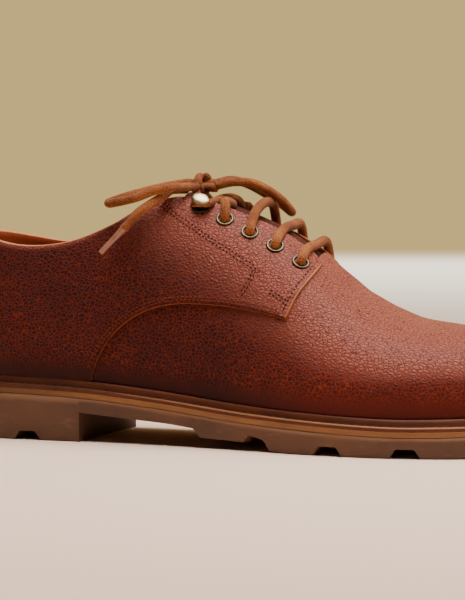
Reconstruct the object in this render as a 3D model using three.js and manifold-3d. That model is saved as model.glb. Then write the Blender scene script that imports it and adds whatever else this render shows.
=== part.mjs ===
// A right lace-up shoe in grained leather: an open-laced upper with raised quarters,
// a stitched storm welt, a leather midsole and a lugged rubber sole with its heel moulded on.
// Millimetres. +X runs from heel to toe, +Y to the inner side of the foot, +Z up, floor at Z 0.
import * as THREE from "three";
import { mergeVertices } from "three/addons/utils/BufferGeometryUtils.js";
import Module from "manifold-3d";

const wasm = await Module();
wasm.setup();

// Sizes of the last and the sole
const soleLength = 302;
const ballWidth = 103;
const heelHeight = 26.4; // floor to the top of the welt, at the heel
const foreHeight = 13.7; // the same, at the ball
const toeSpring = 5;
const instepHeight = 98; // scale of the ridge heights above the welt
const backHeight = 72; // top of the heel above the welt

// Sizes of the upper
const upperWall = 1.8;
const quarterStep = 1.3; // how far the quarters stand out from the vamp
const weltWidth = 5.5; // edge of the sole to the foot of the upper
const bellyHeight = 14;
const lastedEdge = 1.6; // how far the upper goes down inside the welt
const seam = 0.3; // gap between pieces that touch

// Sizes of the sole's layers
const weltThickness = 1.9;
const beadHeight = 3.2;
const midsoleThickness = 2.2;
const insoleThickness = 2.4;
const heelBreast = 71; // back of the sole to the front of the heel
const lugDepth = 4.1;
const lugPitch = 35;
const notchWidth = 13.5;
const notchFloor = 8;
const notchReach = 15;
const channelWidth = 4.5;
const channelInset = 18;
const treadDepth = 3.3; // depth of the channel and of the bars across the pad
const barWidth = 5.5;
const firstNotch = 160.5; // back of the sole to the middle of the rearmost fore notch
const foreNotchCount = 4;
const heelNotchSetbacks = [26.5, 58]; // breast back to the middle of each heel notch

// Sizes of the throat and its fastenings
const throatTop = 119; // top end of the facings
const throatEnd = 178; // front end of the throat
const throatHalfTop = 12.6;
const throatHalfEnd = 10.8;
const facingCorner = 5.5;
const frontPinch = 2; // how much the slot narrows on each side at its front
const eyeletCount = 4;
const firstEyelet = 173.6;
const eyeletPitch = 12.3;
const hookInset = 4.6; // edge of the facing to the middle of the hook
const eyeletInset = 10.4; // the same, at the front eyelet
const eyeletRadius = 4.3;
const eyeletBore = 2.6;
const eyeletRim = 0.8;
const eyeletBarrel = 3.1;
const hookPostHeight = 5.4;
const hookPost = 1.5;
const hookPlate = 1;
const rimBevel = 0.5;
const tongueThickness = 2.6;
const tongueHalfTop = 24;
const tongueTop = 113;
const tongueCorner = 8;
const tongueTuck = 6; // how far the tongue runs in under the vamp
const tongueFlare = 3; // how far its front reaches past each side of the throat

// Sizes of the pull loop and the lace
const loopWidth = 10;
const loopThickness = 1.9;
const loopHeight = 24.6; // top of the loop above the collar
const laceWidth = 4.6;
const agletLength = 15;
const agletWidth = 3.2;

// Plan of the sole: share of its length, then middle line and half width as shares of ballWidth.
const plan = [
  { along: 0.0, middle: 0.0, half: 0.325 },
  { along: 0.1, middle: 0.0, half: 0.34 },
  { along: 0.2, middle: -0.003, half: 0.342 },
  { along: 0.3, middle: -0.018, half: 0.335 },
  { along: 0.4, middle: -0.037, half: 0.338 },
  { along: 0.5, middle: -0.045, half: 0.373 },
  { along: 0.6, middle: -0.031, half: 0.439 },
  { along: 0.7, middle: 0.004, half: 0.495 },
  { along: 0.8, middle: 0.041, half: 0.5 },
  { along: 0.9, middle: 0.078, half: 0.476 },
  { along: 1.0, middle: 0.107, half: 0.447 },
];
const heelEnd = { reach: 0.125, power: 2.2 };
const toeEnd = { reach: 0.27, power: 2.15 };
const toeTop = { reach: 0.17, power: 2.3 };

// Top of the welt: share of the rise from ball to heel, and share of the toe spring.
const rocker = [
  { along: 0.0, rise: 1.0, spring: 0.0 },
  { along: 0.1, rise: 0.985, spring: 0.0 },
  { along: 0.235, rise: 0.875, spring: 0.0 },
  { along: 0.35, rise: 0.645, spring: 0.0 },
  { along: 0.49, rise: 0.3, spring: 0.0 },
  { along: 0.57, rise: 0.165, spring: 0.0 },
  { along: 0.65, rise: 0.07, spring: 0.0 },
  { along: 0.74, rise: 0.0, spring: 0.0 },
  { along: 0.8, rise: 0.0, spring: 0.03 },
  { along: 0.87, rise: 0.0, spring: 0.18 },
  { along: 1.0, rise: 0.0, spring: 1.0 },
];

// Sections of the upper: side is the ridge's place across, as a share of ballWidth; height is a
// share of instepHeight; fullness is the power of the section's curve; belly is how far the
// side swells past its foot, as a share of weltWidth.
const ridge = [
  { along: 0.0, side: 0.0, height: 1.28, fullness: 2.0, belly: 0.5 },
  { along: 0.2, side: 0.0, height: 1.28, fullness: 2.0, belly: 0.4 },
  { along: 0.3, side: -0.005, height: 1.13, fullness: 2.35, belly: 0.4 },
  { along: 0.35, side: -0.008, height: 1.0, fullness: 2.5, belly: 0.41 },
  { along: 0.4, side: -0.01, height: 0.962, fullness: 2.35, belly: 0.42 },
  { along: 0.464, side: -0.01, height: 0.925, fullness: 2.05, belly: 0.45 },
  { along: 0.53, side: 0.0, height: 0.857, fullness: 1.87, belly: 0.45 },
  { along: 0.58, side: 0.01, height: 0.764, fullness: 1.85, belly: 0.42 },
  { along: 0.626, side: 0.025, height: 0.652, fullness: 1.85, belly: 0.4 },
  { along: 0.682, side: 0.045, height: 0.54, fullness: 1.95, belly: 0.35 },
  { along: 0.735, side: 0.06, height: 0.465, fullness: 2.1, belly: 0.32 },
  { along: 0.808, side: 0.078, height: 0.42, fullness: 2.3, belly: 0.32 },
  { along: 0.861, side: 0.088, height: 0.392, fullness: 2.4, belly: 0.35 },
  { along: 1.0, side: 0.107, height: 0.35, fullness: 2.4, belly: 0.4 },
];
const bellyShare = 0.28; // share of a section's points that lie below its widest place

// Back curve of the heel: share of backHeight, and forward lean as a share of weltWidth.
const backCurve = [
  { up: 0.0, lean: 0.0 },
  { up: 0.22, lean: -0.45 },
  { up: 0.45, lean: -0.45 },
  { up: 0.7, lean: -0.1 },
  { up: 1.0, lean: 0.5 },
  { up: 1.8, lean: 2.0 },
];
const backReach = 0.22; // share of the length that the back curve bends

// Line of the collar: share of the sole's length, and share of backHeight above the heel's welt.
const topline = [
  { along: -0.05, up: 1.02 },
  { along: 0.03, up: 0.985 },
  { along: 0.09, up: 0.92 },
  { along: 0.13, up: 0.885 },
  { along: 0.17, up: 0.883 },
  { along: 0.22, up: 0.92 },
  { along: 0.28, up: 1.02 },
  { along: 0.32, up: 1.12 },
  { along: 0.35, up: 1.178 },
  { along: 0.372, up: 1.2 },
];
// The cut past the collar's front end, over the facings: millimetres on from it, and up.
const facingTops = [
  { past: 1.5, rise: 2 },
  { past: 6, rise: 7 },
];
const facingClear = 12; // where the cut leaves the facings

// Underside of the waist: share of the sole's length, and share of heelHeight.
const arch = [
  { along: 0.335, up: 0.425 },
  { along: 0.38, up: 0.39 },
  { along: 0.425, up: 0.335 },
  { along: 0.438, up: 0.178 },
  { along: 0.507, up: 0.15 },
  { along: 0.55, up: 0.035 },
  { along: 0.585, up: 0.0 },
];
const archTop = 0.51; // height of the waist at the heel breast, as a share of heelHeight

// A smooth curve through one column of a table, read at a value of its key column.
function curve(table, key, column, at) {
  const last = table.length - 1;
  const x = Math.min(Math.max(at, table[0][key]), table[last][key]);
  let i = 0;
  while (i < last - 1 && x > table[i + 1][key]) i++;
  const slope = (n) => {
    const a = table[Math.max(n - 1, 0)];
    const b = table[Math.min(n + 1, last)];
    return (b[column] - a[column]) / (b[key] - a[key]);
  };
  const [p, q] = [table[i], table[i + 1]];
  const h = q[key] - p[key];
  const t = (x - p[key]) / h;
  const rest = 1 - t;
  return (
    (1 + 2 * t) * rest * rest * p[column] +
    t * rest * rest * h * slope(i) +
    t * t * (3 - 2 * t) * q[column] -
    t * t * rest * h * slope(i + 1)
  );
}

const clamp = (v) => Math.min(Math.max(v, 0), 1);
const smooth = (v) => clamp(v) ** 2 * (3 - 2 * clamp(v));

// 1 along the straight, falling to 0 round an end: past is how far into the end, as a share.
function rounded(past, { reach, power }) {
  return (1 - clamp(past / reach) ** power) ** (1 / power);
}
const planEnds = (t) =>
  rounded(heelEnd.reach - t, heelEnd) * rounded(t - 1 + toeEnd.reach, toeEnd);

// Edge of a layer whose outline lies inset from the sole's. side is -1 outer, +1 inner.
function edge(t, side, inset) {
  const half = ballWidth * curve(plan, "along", "half", t) - inset;
  return {
    x: inset + t * (soleLength - 2 * inset),
    y: ballWidth * curve(plan, "along", "middle", t) + side * half * planEnds(t),
  };
}

// Height of the welt's top above the floor.
function weltTop(t) {
  const rise = (heelHeight - foreHeight) * curve(rocker, "along", "rise", t);
  return foreHeight + rise + toeSpring * curve(rocker, "along", "spring", t);
}

// A point of the upper's form: t runs from heel to toe, a from the foot of the wall (0) to the
// ridge (1). grow moves the form outwards; growth fades to nothing at the foot of the wall.
function formPoint(t, side, a, grow) {
  const fade = grow > 0 ? smooth((a - 0.08) / 0.17) : 1;
  const g = grow * fade;
  const foot = edge(t, side, weltWidth - g);
  const ends = planEnds(t);
  const top = rounded(t - 1 + toeTop.reach, toeTop);
  const floor = weltTop(t);
  const middle = ballWidth * curve(plan, "along", "middle", t);
  const crest = ballWidth * curve(ridge, "along", "side", t);
  const across = middle + (crest - middle) * ends;
  const height = (instepHeight * curve(ridge, "along", "height", t) + g) * top;
  const power = 2 / curve(ridge, "along", "fullness", t);
  const belly = weltWidth * curve(ridge, "along", "belly", t) * ends;
  const waist = bellyHeight * top;
  const low = clamp(a / bellyShare);
  const turn = (clamp((a - bellyShare) / (1 - bellyShare)) * Math.PI) / 2;
  const width = side * (foot.y - across) + belly;
  const wall = a < bellyShare;
  const y = wall
    ? foot.y + side * belly * Math.sin((low * Math.PI) / 2)
    : across + side * width * Math.max(Math.cos(turn), 0) ** power;
  const up = wall ? waist * low : waist + (height - waist) * Math.sin(turn) ** power;
  const bend = clamp(1 - t / backReach) ** 2;
  const lean = weltWidth * curve(backCurve, "up", "lean", up / backHeight) * bend;
  return new THREE.Vector3(foot.x + lean, y, floor + up);
}

const shareAt = (x, grow) => {
  const inset = weltWidth - grow;
  return (x - inset) / (soleLength - 2 * inset);
};

// The point of the grown form above a place in plan, with the outward normal there.
function formAbove(x, y, grow) {
  const t = shareAt(x, grow);
  const crest = formPoint(t, 1, 1, grow).y;
  const side = y < crest ? -1 : 1;
  let [low, high] = [bellyShare, 1];
  for (let n = 0; n < 40; n++) {
    const a = (low + high) / 2;
    if (side * (formPoint(t, side, a, grow).y - y) > 0) low = a;
    else high = a;
  }
  const a = Math.min((low + high) / 2, 0.985);
  const step = 0.01;
  const along = formPoint(t + step, side, a, grow).sub(formPoint(t - step, side, a, grow));
  const around = formPoint(t, side, a + step, grow).sub(formPoint(t, side, a - step, grow));
  const normal = along.cross(around).multiplyScalar(-side).normalize();
  return { point: formPoint(t, side, (low + high) / 2, grow), normal };
}

// A closed three.js geometry as a solid, turned to face outwards.
function solid(geometry) {
  geometry.deleteAttribute("normal");
  geometry.deleteAttribute("uv");
  const merged = mergeVertices(geometry, 1e-4);
  const corners = Array.from(merged.index.array);
  const kept = [];
  for (let i = 0; i < corners.length; i += 3) {
    const [a, b, c] = corners.slice(i, i + 3);
    if (a !== b && b !== c && a !== c) kept.push(a, b, c);
  }
  const make = (triVerts) =>
    new wasm.Manifold(
      new wasm.Mesh({
        numProp: 3,
        vertProperties: merged.attributes.position.array,
        triVerts: new Uint32Array(triVerts),
      }),
    );
  const made = make(kept);
  return made.volume() < 0 ? make(kept.reverse()) : made;
}

// A solid through rings of points. The end rings are closed by fans, or joined if it is a loop.
function loft(rings, loop = false) {
  const size = rings[0].length;
  const position = rings.flat().flatMap((p) => [p.x, p.y, p.z]);
  const index = [];
  const count = loop ? rings.length : rings.length - 1;
  for (let i = 0; i < count; i++) {
    for (let j = 0; j < size; j++) {
      const next = ((i + 1) % rings.length) * size;
      const [a, b] = [i * size + j, i * size + ((j + 1) % size)];
      const [c, d] = [next + j, next + ((j + 1) % size)];
      index.push(a, b, d, a, d, c);
    }
  }
  if (!loop) {
    const end = (rings.length - 1) * size;
    for (let j = 1; j < size - 1; j++) {
      index.push(0, j + 1, j, end, end + j, end + j + 1);
    }
  }
  const geometry = new THREE.BufferGeometry();
  geometry.setAttribute("position", new THREE.Float32BufferAttribute(position, 3));
  geometry.setIndex(index);
  return solid(geometry);
}

// Shares from one end to the other, closer together where the outline turns.
function stations(count, from = 0, to = 1) {
  return Array.from({ length: count + 1 }, (_, i) => {
    const eased = (1 - Math.cos((Math.PI * i) / count)) / 2;
    return from + (to - from) * eased;
  });
}

// A prism of a profile drawn in length and height, running across the shoe.
function acrossPrism(shape, segments = 8) {
  const depth = 4 * ballWidth;
  const geometry = new THREE.ExtrudeGeometry(shape, {
    depth,
    bevelEnabled: false,
    curveSegments: segments,
  });
  return solid(geometry.rotateX(Math.PI / 2).translate(0, depth / 2, 0));
}

// A prism of a shape drawn in plan, running up through the shoe from a height.
function uprightPrism(shape, segments = 8, from = -instepHeight) {
  const depth = 4 * instepHeight;
  const geometry = new THREE.ExtrudeGeometry(shape, {
    depth,
    bevelEnabled: false,
    curveSegments: segments,
  });
  return solid(geometry.translate(0, 0, from));
}

const polygon = (points) => new THREE.Shape(points.map(([x, y]) => new THREE.Vector2(x, y)));

// A layer of the sole between two heights, each a function of the share along.
function layer(inset, bottom, top, from = 0, to = 1, count = 34) {
  return loft(
    stations(count, from, to).map((t) => {
      const [outer, inner] = [edge(t, -1, inset), edge(t, 1, inset)];
      return [
        new THREE.Vector3(outer.x, outer.y, bottom(t)),
        new THREE.Vector3(inner.x, inner.y, bottom(t)),
        new THREE.Vector3(inner.x, inner.y, top(t)),
        new THREE.Vector3(outer.x, outer.y, top(t)),
      ];
    }),
  );
}

const shoe = new THREE.Group();

function addMesh(name, made, material) {
  const mesh = made.getMesh();
  const geometry = new THREE.BufferGeometry();
  geometry.setAttribute("position", new THREE.BufferAttribute(mesh.vertProperties, 3));
  geometry.setIndex(new THREE.BufferAttribute(mesh.triVerts, 1));
  geometry.computeVertexNormals();
  const node = new THREE.Mesh(geometry, material);
  node.name = name;
  shoe.add(node);
  return node;
}

const paint = (color, roughness, metalness = 0) =>
  new THREE.MeshStandardMaterial({ color, roughness, metalness });
const grainedLeather = paint(0x6b2a1c, 0.45);
const liningLeather = paint(0x6e3220, 0.7);
const weltLeather = paint(0x6a4026, 0.6);
const edgeLeather = paint(0x8a5229, 0.55);
const soleRubber = paint(0x6b4c38, 0.65);
const laceCord = paint(0x9c5a34, 0.8);
const antiqueMetal = paint(0xa89a86, 0.35, 1);
const clearTip = paint(0xb08a7c, 0.2);

// The lugged sole: one rubber moulding with its heel.
const soleTop = (t) => weltTop(t) - weltThickness - midsoleThickness - 2 * seam;

// Everything below the sole's side profile: the arch in front of the heel, and the toe spring.
function underCutter() {
  const deep = -heelHeight;
  const waist = [
    [heelBreast, deep],
    [heelBreast, archTop * heelHeight],
    ...arch.map((row) => [row.along * soleLength, row.up * heelHeight]),
    [arch.at(-1).along * soleLength, deep],
  ];
  const springStart = 0.77;
  const toe = [1, 0.95, 0.9, 0.86, 0.82, springStart].map((t) => [
    t === 1 ? 1.05 * soleLength : t * soleLength,
    toeSpring * curve(rocker, "along", "spring", t),
  ]);
  const under = [[springStart * soleLength, deep], [1.05 * soleLength, deep], ...toe];
  return acrossPrism(polygon(waist)).add(acrossPrism(polygon(under)));
}

// The wedge cut into the sole's side between two lugs, square to the outline.
function notch(x, side) {
  const t = x / soleLength;
  const step = 0.01;
  const [behind, ahead] = [edge(t - step, side, 0), edge(t + step, side, 0)];
  const at = edge(t, side, 0);
  const turn = Math.atan2(ahead.y - behind.y, ahead.x - behind.x);
  const under = toeSpring * curve(rocker, "along", "spring", t);
  const slope = curve([...arch, { along: 1, up: 0 }], "along", "up", t) * heelHeight;
  const bottom = under + (x > heelBreast ? Math.max(slope, 0) : 0);
  const wide = notchWidth / 2;
  const spread = (wide - notchFloor / 2) / lugDepth;
  const drop = bottom + lugDepth;
  const shape = polygon([
    [-wide - spread * bottom, 0],
    [wide + spread * bottom, 0],
    [notchFloor / 2, drop],
    [-notchFloor / 2, drop],
  ]);
  const depth = 2 * notchReach;
  const geometry = new THREE.ExtrudeGeometry(shape, { depth, bevelEnabled: false });
  geometry.translate(0, 0, -depth / 2).rotateX(Math.PI / 2);
  geometry.rotateZ(turn).translate(at.x, at.y, -0.01);
  return solid(geometry);
}

// A groove round the tread that leaves a row of lugs outside it and a pad inside.
function channel(from, to) {
  const flat = (z) => () => z;
  const depth = treadDepth;
  const short = channelWidth / soleLength;
  const outer = layer(channelInset, flat(-1), flat(depth), from, to, 16);
  const width = channelInset + channelWidth;
  const inner = layer(width, flat(-2), flat(depth + 1), from + short, to - short / 2, 16);
  return outer.subtract(inner);
}

function makeOutsole() {
  let sole = layer(0, () => 0, soleTop).subtract(underCutter());
  const foreNotches = Array.from({ length: foreNotchCount }, (_, n) => firstNotch + n * lugPitch);
  const heelNotches = heelNotchSetbacks.map((setback) => heelBreast - setback);
  for (const x of [...foreNotches, ...heelNotches]) {
    for (const side of [-1, 1]) sole = sole.subtract(notch(x, side));
  }
  sole = sole.subtract(channel(0.56, 0.99)).subtract(channel(0.03, 0.19));
  for (const behind of foreNotches.slice(0, -1)) {
    const x = behind + lugPitch / 2;
    const cut = polygon([
      [x - barWidth / 2, -1],
      [x + barWidth / 2, -1],
      [x + barWidth / 2, treadDepth],
      [x - barWidth / 2, treadDepth],
    ]);
    const strip = layer(channelInset + 1, () => -2, () => lugDepth, 0.5, 0.98, 12);
    sole = sole.subtract(acrossPrism(cut).intersect(strip));
  }
  return sole;
}
addMesh("outsole", makeOutsole(), soleRubber);

// The midsole: a leather layer trimmed flush with the rubber.
const midsoleTop = (t) => weltTop(t) - weltThickness - seam;
addMesh("midsole", layer(0, (t) => midsoleTop(t) - midsoleThickness, midsoleTop), edgeLeather);

// The storm welt: a flat strip round the upper's foot with a raised bead against the leather.
function makeWelt() {
  const bevel = 0.5;
  const beadFoot = 2.9;
  const beadWidth = 1.6;
  const profile = [
    { inset: 0, up: -weltThickness },
    { inset: 0, up: -bevel },
    { inset: bevel, up: 0 },
    { inset: beadFoot, up: 0 },
    { inset: beadFoot + 0.1, up: 0.75 * beadHeight },
    { inset: beadFoot + 0.5 * beadWidth, up: beadHeight },
    { inset: beadFoot + 0.9 * beadWidth, up: 0.8 * beadHeight },
    { inset: weltWidth - seam - 0.1, up: 0 },
    { inset: weltWidth - seam - 0.1, up: -weltThickness },
  ];
  const outer = stations(30).map((t) => ({ t, side: -1 }));
  const inner = stations(30).map((t) => ({ t, side: 1 }));
  const round = [...outer, ...inner.reverse().slice(1, -1)];
  return loft(
    round.map(({ t, side }) =>
      profile.map(({ inset, up }) => {
        const at = edge(t, side, inset);
        return new THREE.Vector3(at.x, at.y, weltTop(t) + up);
      }),
    ),
    true,
  );
}
addMesh("welt", makeWelt(), weltLeather);

// The insole: the floor that the foot stands on.
const insoleInset = weltWidth + upperWall + seam + 0.2;
const insoleBottom = (t) => midsoleTop(t) + seam;
addMesh(
  "insole",
  layer(insoleInset, insoleBottom, (t) => insoleBottom(t) + insoleThickness, 0, 1, 26),
  liningLeather,
);

// The whole form of the upper, grown or shrunk, with its wall carried down below the welt's top.
function form(grow, below, sections = 34, rows = 10) {
  const shares = Array.from({ length: rows + 1 }, (_, j) => j / rows);
  return loft(
    stations(sections).map((t) => {
      const wall = (side) => {
        const foot = formPoint(t, side, 0, grow);
        const points = shares.map((a) => formPoint(t, side, a, grow));
        return [foot.clone().setZ(foot.z - below), ...points];
      };
      return [...wall(-1), ...wall(1).reverse().slice(1)];
    }),
  );
}

// Everything above the collar and behind the top of the facings.
function collarCutter() {
  const shape = new THREE.Shape();
  const up = (row) => heelHeight + row.up * backHeight;
  const high = 3 * instepHeight;
  shape.moveTo(-0.2 * soleLength, high);
  shape.lineTo(-0.2 * soleLength, up(topline[0]));
  const steps = 26;
  const [from, to] = [topline[0].along, topline.at(-1).along];
  for (let i = 0; i <= steps; i++) {
    const along = from + ((to - from) * i) / steps;
    const height = heelHeight + curve(topline, "along", "up", along) * backHeight;
    shape.lineTo(along * soleLength, height);
  }
  for (const { past, rise } of facingTops) {
    shape.lineTo(throatTop + past, up(topline.at(-1)) + rise);
  }
  shape.lineTo(throatTop + facingClear, high);
  return acrossPrism(shape);
}

// Half the gap between the facings, at a place along.
const throatHalf = (x) => {
  const share = (x - throatTop) / (throatEnd - throatTop);
  return throatHalfTop + (throatHalfEnd - throatHalfTop) * clamp(share);
};
const throatMiddle = (x) => ballWidth * curve(ridge, "along", "side", x / soleLength);

// The slot between the facings. Its sides flare round the facings' front corners if flared.
function throatSlot(flared) {
  const back = throatTop - 6 * facingCorner;
  const near = (x, side) => throatMiddle(x) + side * throatHalf(x);
  const front = flared ? throatEnd + 4 * facingCorner : throatEnd;
  const start = throatEnd - 0.6 * facingCorner;
  const shape = new THREE.Shape();
  const wide = 3 * facingCorner;
  const [turn, past] = [0.9 * facingCorner, 1.1 * facingCorner];
  shape.moveTo(back, near(back, -1));
  shape.lineTo(start, near(start, -1));
  if (flared) {
    const corner = near(throatEnd, -1);
    shape.quadraticCurveTo(start + turn, corner, start + past, corner - facingCorner);
    shape.lineTo(front, corner - wide);
    shape.lineTo(front, near(throatEnd, 1) + wide);
    const other = near(throatEnd, 1);
    shape.lineTo(start + past, other + facingCorner);
    shape.quadraticCurveTo(start + turn, other, start, near(start, 1));
  } else {
    shape.lineTo(front, near(throatEnd, -1) + frontPinch);
    shape.lineTo(front, near(throatEnd, 1) - frontPinch);
    shape.lineTo(start, near(start, 1));
  }
  shape.lineTo(back, near(back, 1));
  return uprightPrism(shape, 4);
}

// The quarters' outline from the side: the seam sweeps up from the welt and ends in a corner
// below the facing, whose front edge rises to the throat.
function quarterPrism() {
  const shape = new THREE.Shape();
  const length = soleLength;
  const height = (share) => heelHeight + share * backHeight;
  shape.moveTo(-0.2 * length, -heelHeight);
  shape.lineTo(0.243 * length, -heelHeight);
  shape.lineTo(0.2465 * length, height(-0.04));
  shape.bezierCurveTo(
    0.265 * length,
    height(0.355),
    0.33 * length,
    height(0.535),
    0.41 * length,
    height(0.539),
  );
  shape.bezierCurveTo(
    0.48 * length,
    height(0.542),
    0.53 * length,
    height(0.5),
    0.5705 * length,
    height(0.458),
  );
  shape.lineTo(0.582 * length, height(0.6));
  shape.lineTo(0.598 * length, height(0.76));
  shape.lineTo(0.601 * length, height(1.6));
  shape.lineTo(-0.2 * length, height(3));
  return acrossPrism(shape, 9);
}

// The eyelets' places in plan, from the front one back; the last place is the hook's.
const fasteningPlaces = Array.from({ length: eyeletCount + 1 }, (_, n) => {
  const x = firstEyelet - n * eyeletPitch;
  const inset = eyeletInset + (hookInset - eyeletInset) * (n / eyeletCount);
  return [-1, 1].map((side) => ({
    side,
    x,
    y: throatMiddle(x) + side * (throatHalf(x) + inset),
  }));
});

// Turns a piece made upright at the origin so that it stands on the leather at a place.
function standOn(made, { x, y }, lift) {
  const { point, normal } = formAbove(x, y, quarterStep);
  const upright = new THREE.Vector3(0, 0, 1);
  const turn = new THREE.Quaternion().setFromUnitVectors(upright, normal);
  const at = point.clone().addScaledVector(normal, lift);
  const matrix = new THREE.Matrix4().compose(at, turn, new THREE.Vector3(1, 1, 1));
  return made.transform(matrix.elements);
}

// A solid of revolution about Z from a closed profile of radius and height.
function turned(points, segments) {
  const profile = [...points, points[0]].map(([r, z]) => new THREE.Vector2(r, z));
  const geometry = new THREE.LatheGeometry(profile, segments);
  return solid(geometry.rotateX(Math.PI / 2));
}

function makeUpper() {
  const inside = form(-upperWall, lastedEdge + 4);
  const vamp = form(0, lastedEdge);
  const quarters = form(quarterStep, lastedEdge).intersect(quarterPrism());
  let upper = vamp.add(quarters.subtract(throatSlot(true)));
  upper = upper.subtract(inside).subtract(collarCutter()).subtract(throatSlot(false));
  const [bore, reach] = [eyeletBarrel + seam, 2 * eyeletRadius];
  const hole = turned([[0, -reach], [bore, -reach], [bore, eyeletRadius], [0, eyeletRadius]], 12);
  for (const place of fasteningPlaces.flat()) upper = upper.subtract(standOn(hole, place, 0));
  return upper;
}
addMesh("upper", makeUpper(), grainedLeather);

// The tongue: a padded leather tab that lies under the facings and the vamp's edge.
function makeTongue() {
  const outer = form(-upperWall - seam, 0);
  const inner = form(-upperWall - seam - tongueThickness, 8);
  const front = throatEnd + tongueTuck;
  const halfFront = throatHalfEnd + tongueFlare;
  const corner = tongueTop + tongueCorner;
  const middle = throatMiddle(throatTop);
  const [low, high] = [middle - tongueHalfTop, middle + tongueHalfTop];
  const shape = new THREE.Shape();
  shape.moveTo(front, throatMiddle(front) - halfFront);
  shape.lineTo(corner, low);
  shape.quadraticCurveTo(tongueTop, low, tongueTop, middle - tongueHalfTop / 2);
  shape.lineTo(tongueTop, middle + tongueHalfTop / 2);
  shape.quadraticCurveTo(tongueTop, high, corner, high);
  shape.lineTo(front, throatMiddle(front) + halfFront);
  return outer.subtract(inner).intersect(uprightPrism(shape, 5, 0.4 * instepHeight));
}
addMesh("tongue", makeTongue(), grainedLeather);

// Eyelets: metal rings with a barrel through the leather.
const eyeletShape = turned(
  [
    [eyeletBore, rimBevel],
    [eyeletBore + rimBevel, eyeletRim],
    [eyeletRadius - rimBevel, eyeletRim],
    [eyeletRadius, 0],
    [eyeletBarrel, 0],
    [eyeletBarrel, -upperWall - quarterStep],
    [eyeletBore, -upperWall - quarterStep],
  ],
  12,
);
// Hooks: a base ring and a post that carries a bent oval plate for the lace to pass under.
function makeHook(side) {
  const base = turned(
    [
      [0, -upperWall - quarterStep],
      [0, eyeletRim],
      [eyeletRadius - rimBevel, eyeletRim],
      [eyeletRadius, 0],
      [eyeletBarrel, 0],
      [eyeletBarrel, -upperWall - quarterStep],
    ],
    12,
  );
  const post = turned([[0, 0.2], [0, hookPostHeight], [hookPost, hookPostHeight], [hookPost, 0.2]], 8);
  const plate = turned(
    [
      [0, 0],
      [0, hookPlate],
      [eyeletRadius - hookPlate, 0.6 * hookPlate],
      [eyeletRadius, 0],
    ],
    14,
  );
  const oval = new THREE.Matrix4().makeScale(1.06, 0.74, 1);
  oval.setPosition(0, side * 0.6 * hookPlate, hookPostHeight - 0.2 * hookPlate);
  return base.add(post).add(plate.transform(oval.elements));
}
fasteningPlaces.forEach((pair, n) => {
  for (const place of pair) {
    const where = place.side < 0 ? "outer" : "inner";
    const isHook = n === eyeletCount;
    const name = isHook ? `lace_hook_${where}` : `eyelet_${where}_${n + 1}`;
    const made = isHook ? makeHook(place.side) : eyeletShape;
    addMesh(name, standOn(made, place, seam + 0.1), antiqueMetal);
  }
});

// The pull loop: a strap sewn to the outside of the heel's back that rises above the collar,
// leans back, turns over and comes down inside.
function makePullLoop() {
  const rim = heelHeight + backHeight * topline[1].up;
  const back = (z) => {
    const lean = curve(backCurve, "up", "lean", (z - heelHeight) / backHeight);
    return weltWidth - quarterStep + weltWidth * lean;
  };
  const out = 2 * seam + 0.5 * loopThickness;
  const within = upperWall + quarterStep + 2 * seam + 0.55 * loopThickness;
  // Shares of the loop's height: how far up from the collar, and away from the line it follows.
  const along = (rise, off, away = 0) => {
    const z = rim + rise * loopHeight;
    return new THREE.Vector2(back(z) + off + away * loopHeight, z);
  };
  const above = (rise, away, off = 0) =>
    new THREE.Vector2(back(rim) + off + away * loopHeight, rim + rise * loopHeight);
  const path = new THREE.SplineCurve([
    along(-0.81, -out),
    along(-0.57, -out),
    along(-0.33, -out),
    along(-0.12, -out, -0.01),
    above(0.12, -0.18),
    above(0.41, -0.325),
    above(0.73, -0.447),
    above(0.943, -0.374),
    above(1, -0.187),
    above(0.833, -0.073),
    above(0.488, 0),
    above(0.264, 0.09),
    above(0.1, -0.008, within),
    along(-0.12, within, 0.012),
    along(-0.37, within, 0.008),
  ]);
  const half = loopThickness / 2;
  const count = 34;
  const sides = [-1, 1].map((side) =>
    Array.from({ length: count + 1 }, (_, i) => {
      const point = path.getPoint(i / count);
      const tangent = path.getTangent(i / count);
      return [point.x - side * half * tangent.y, point.y + side * half * tangent.x];
    }),
  );
  const strap = polygon([...sides[0], ...sides[1].reverse()]);
  const geometry = new THREE.ExtrudeGeometry(strap, { depth: loopWidth, bevelEnabled: false });
  return solid(geometry.rotateX(Math.PI / 2).translate(0, loopWidth / 2, 0));
}
addMesh("pull_loop", makePullLoop(), grainedLeather);

// A round cord along a list of points.
function cord(points, steps, width = laceWidth, sides = 8) {
  const path = new THREE.CatmullRomCurve3(points);
  const radius = width / 2;
  const section = polygon(
    Array.from({ length: sides }, (_, i) => {
      const angle = (2 * Math.PI * i) / sides;
      return [radius * Math.cos(angle), radius * Math.sin(angle)];
    }),
  );
  const geometry = new THREE.ExtrudeGeometry(section, { steps, extrudePath: path });
  return solid(geometry);
}

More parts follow.
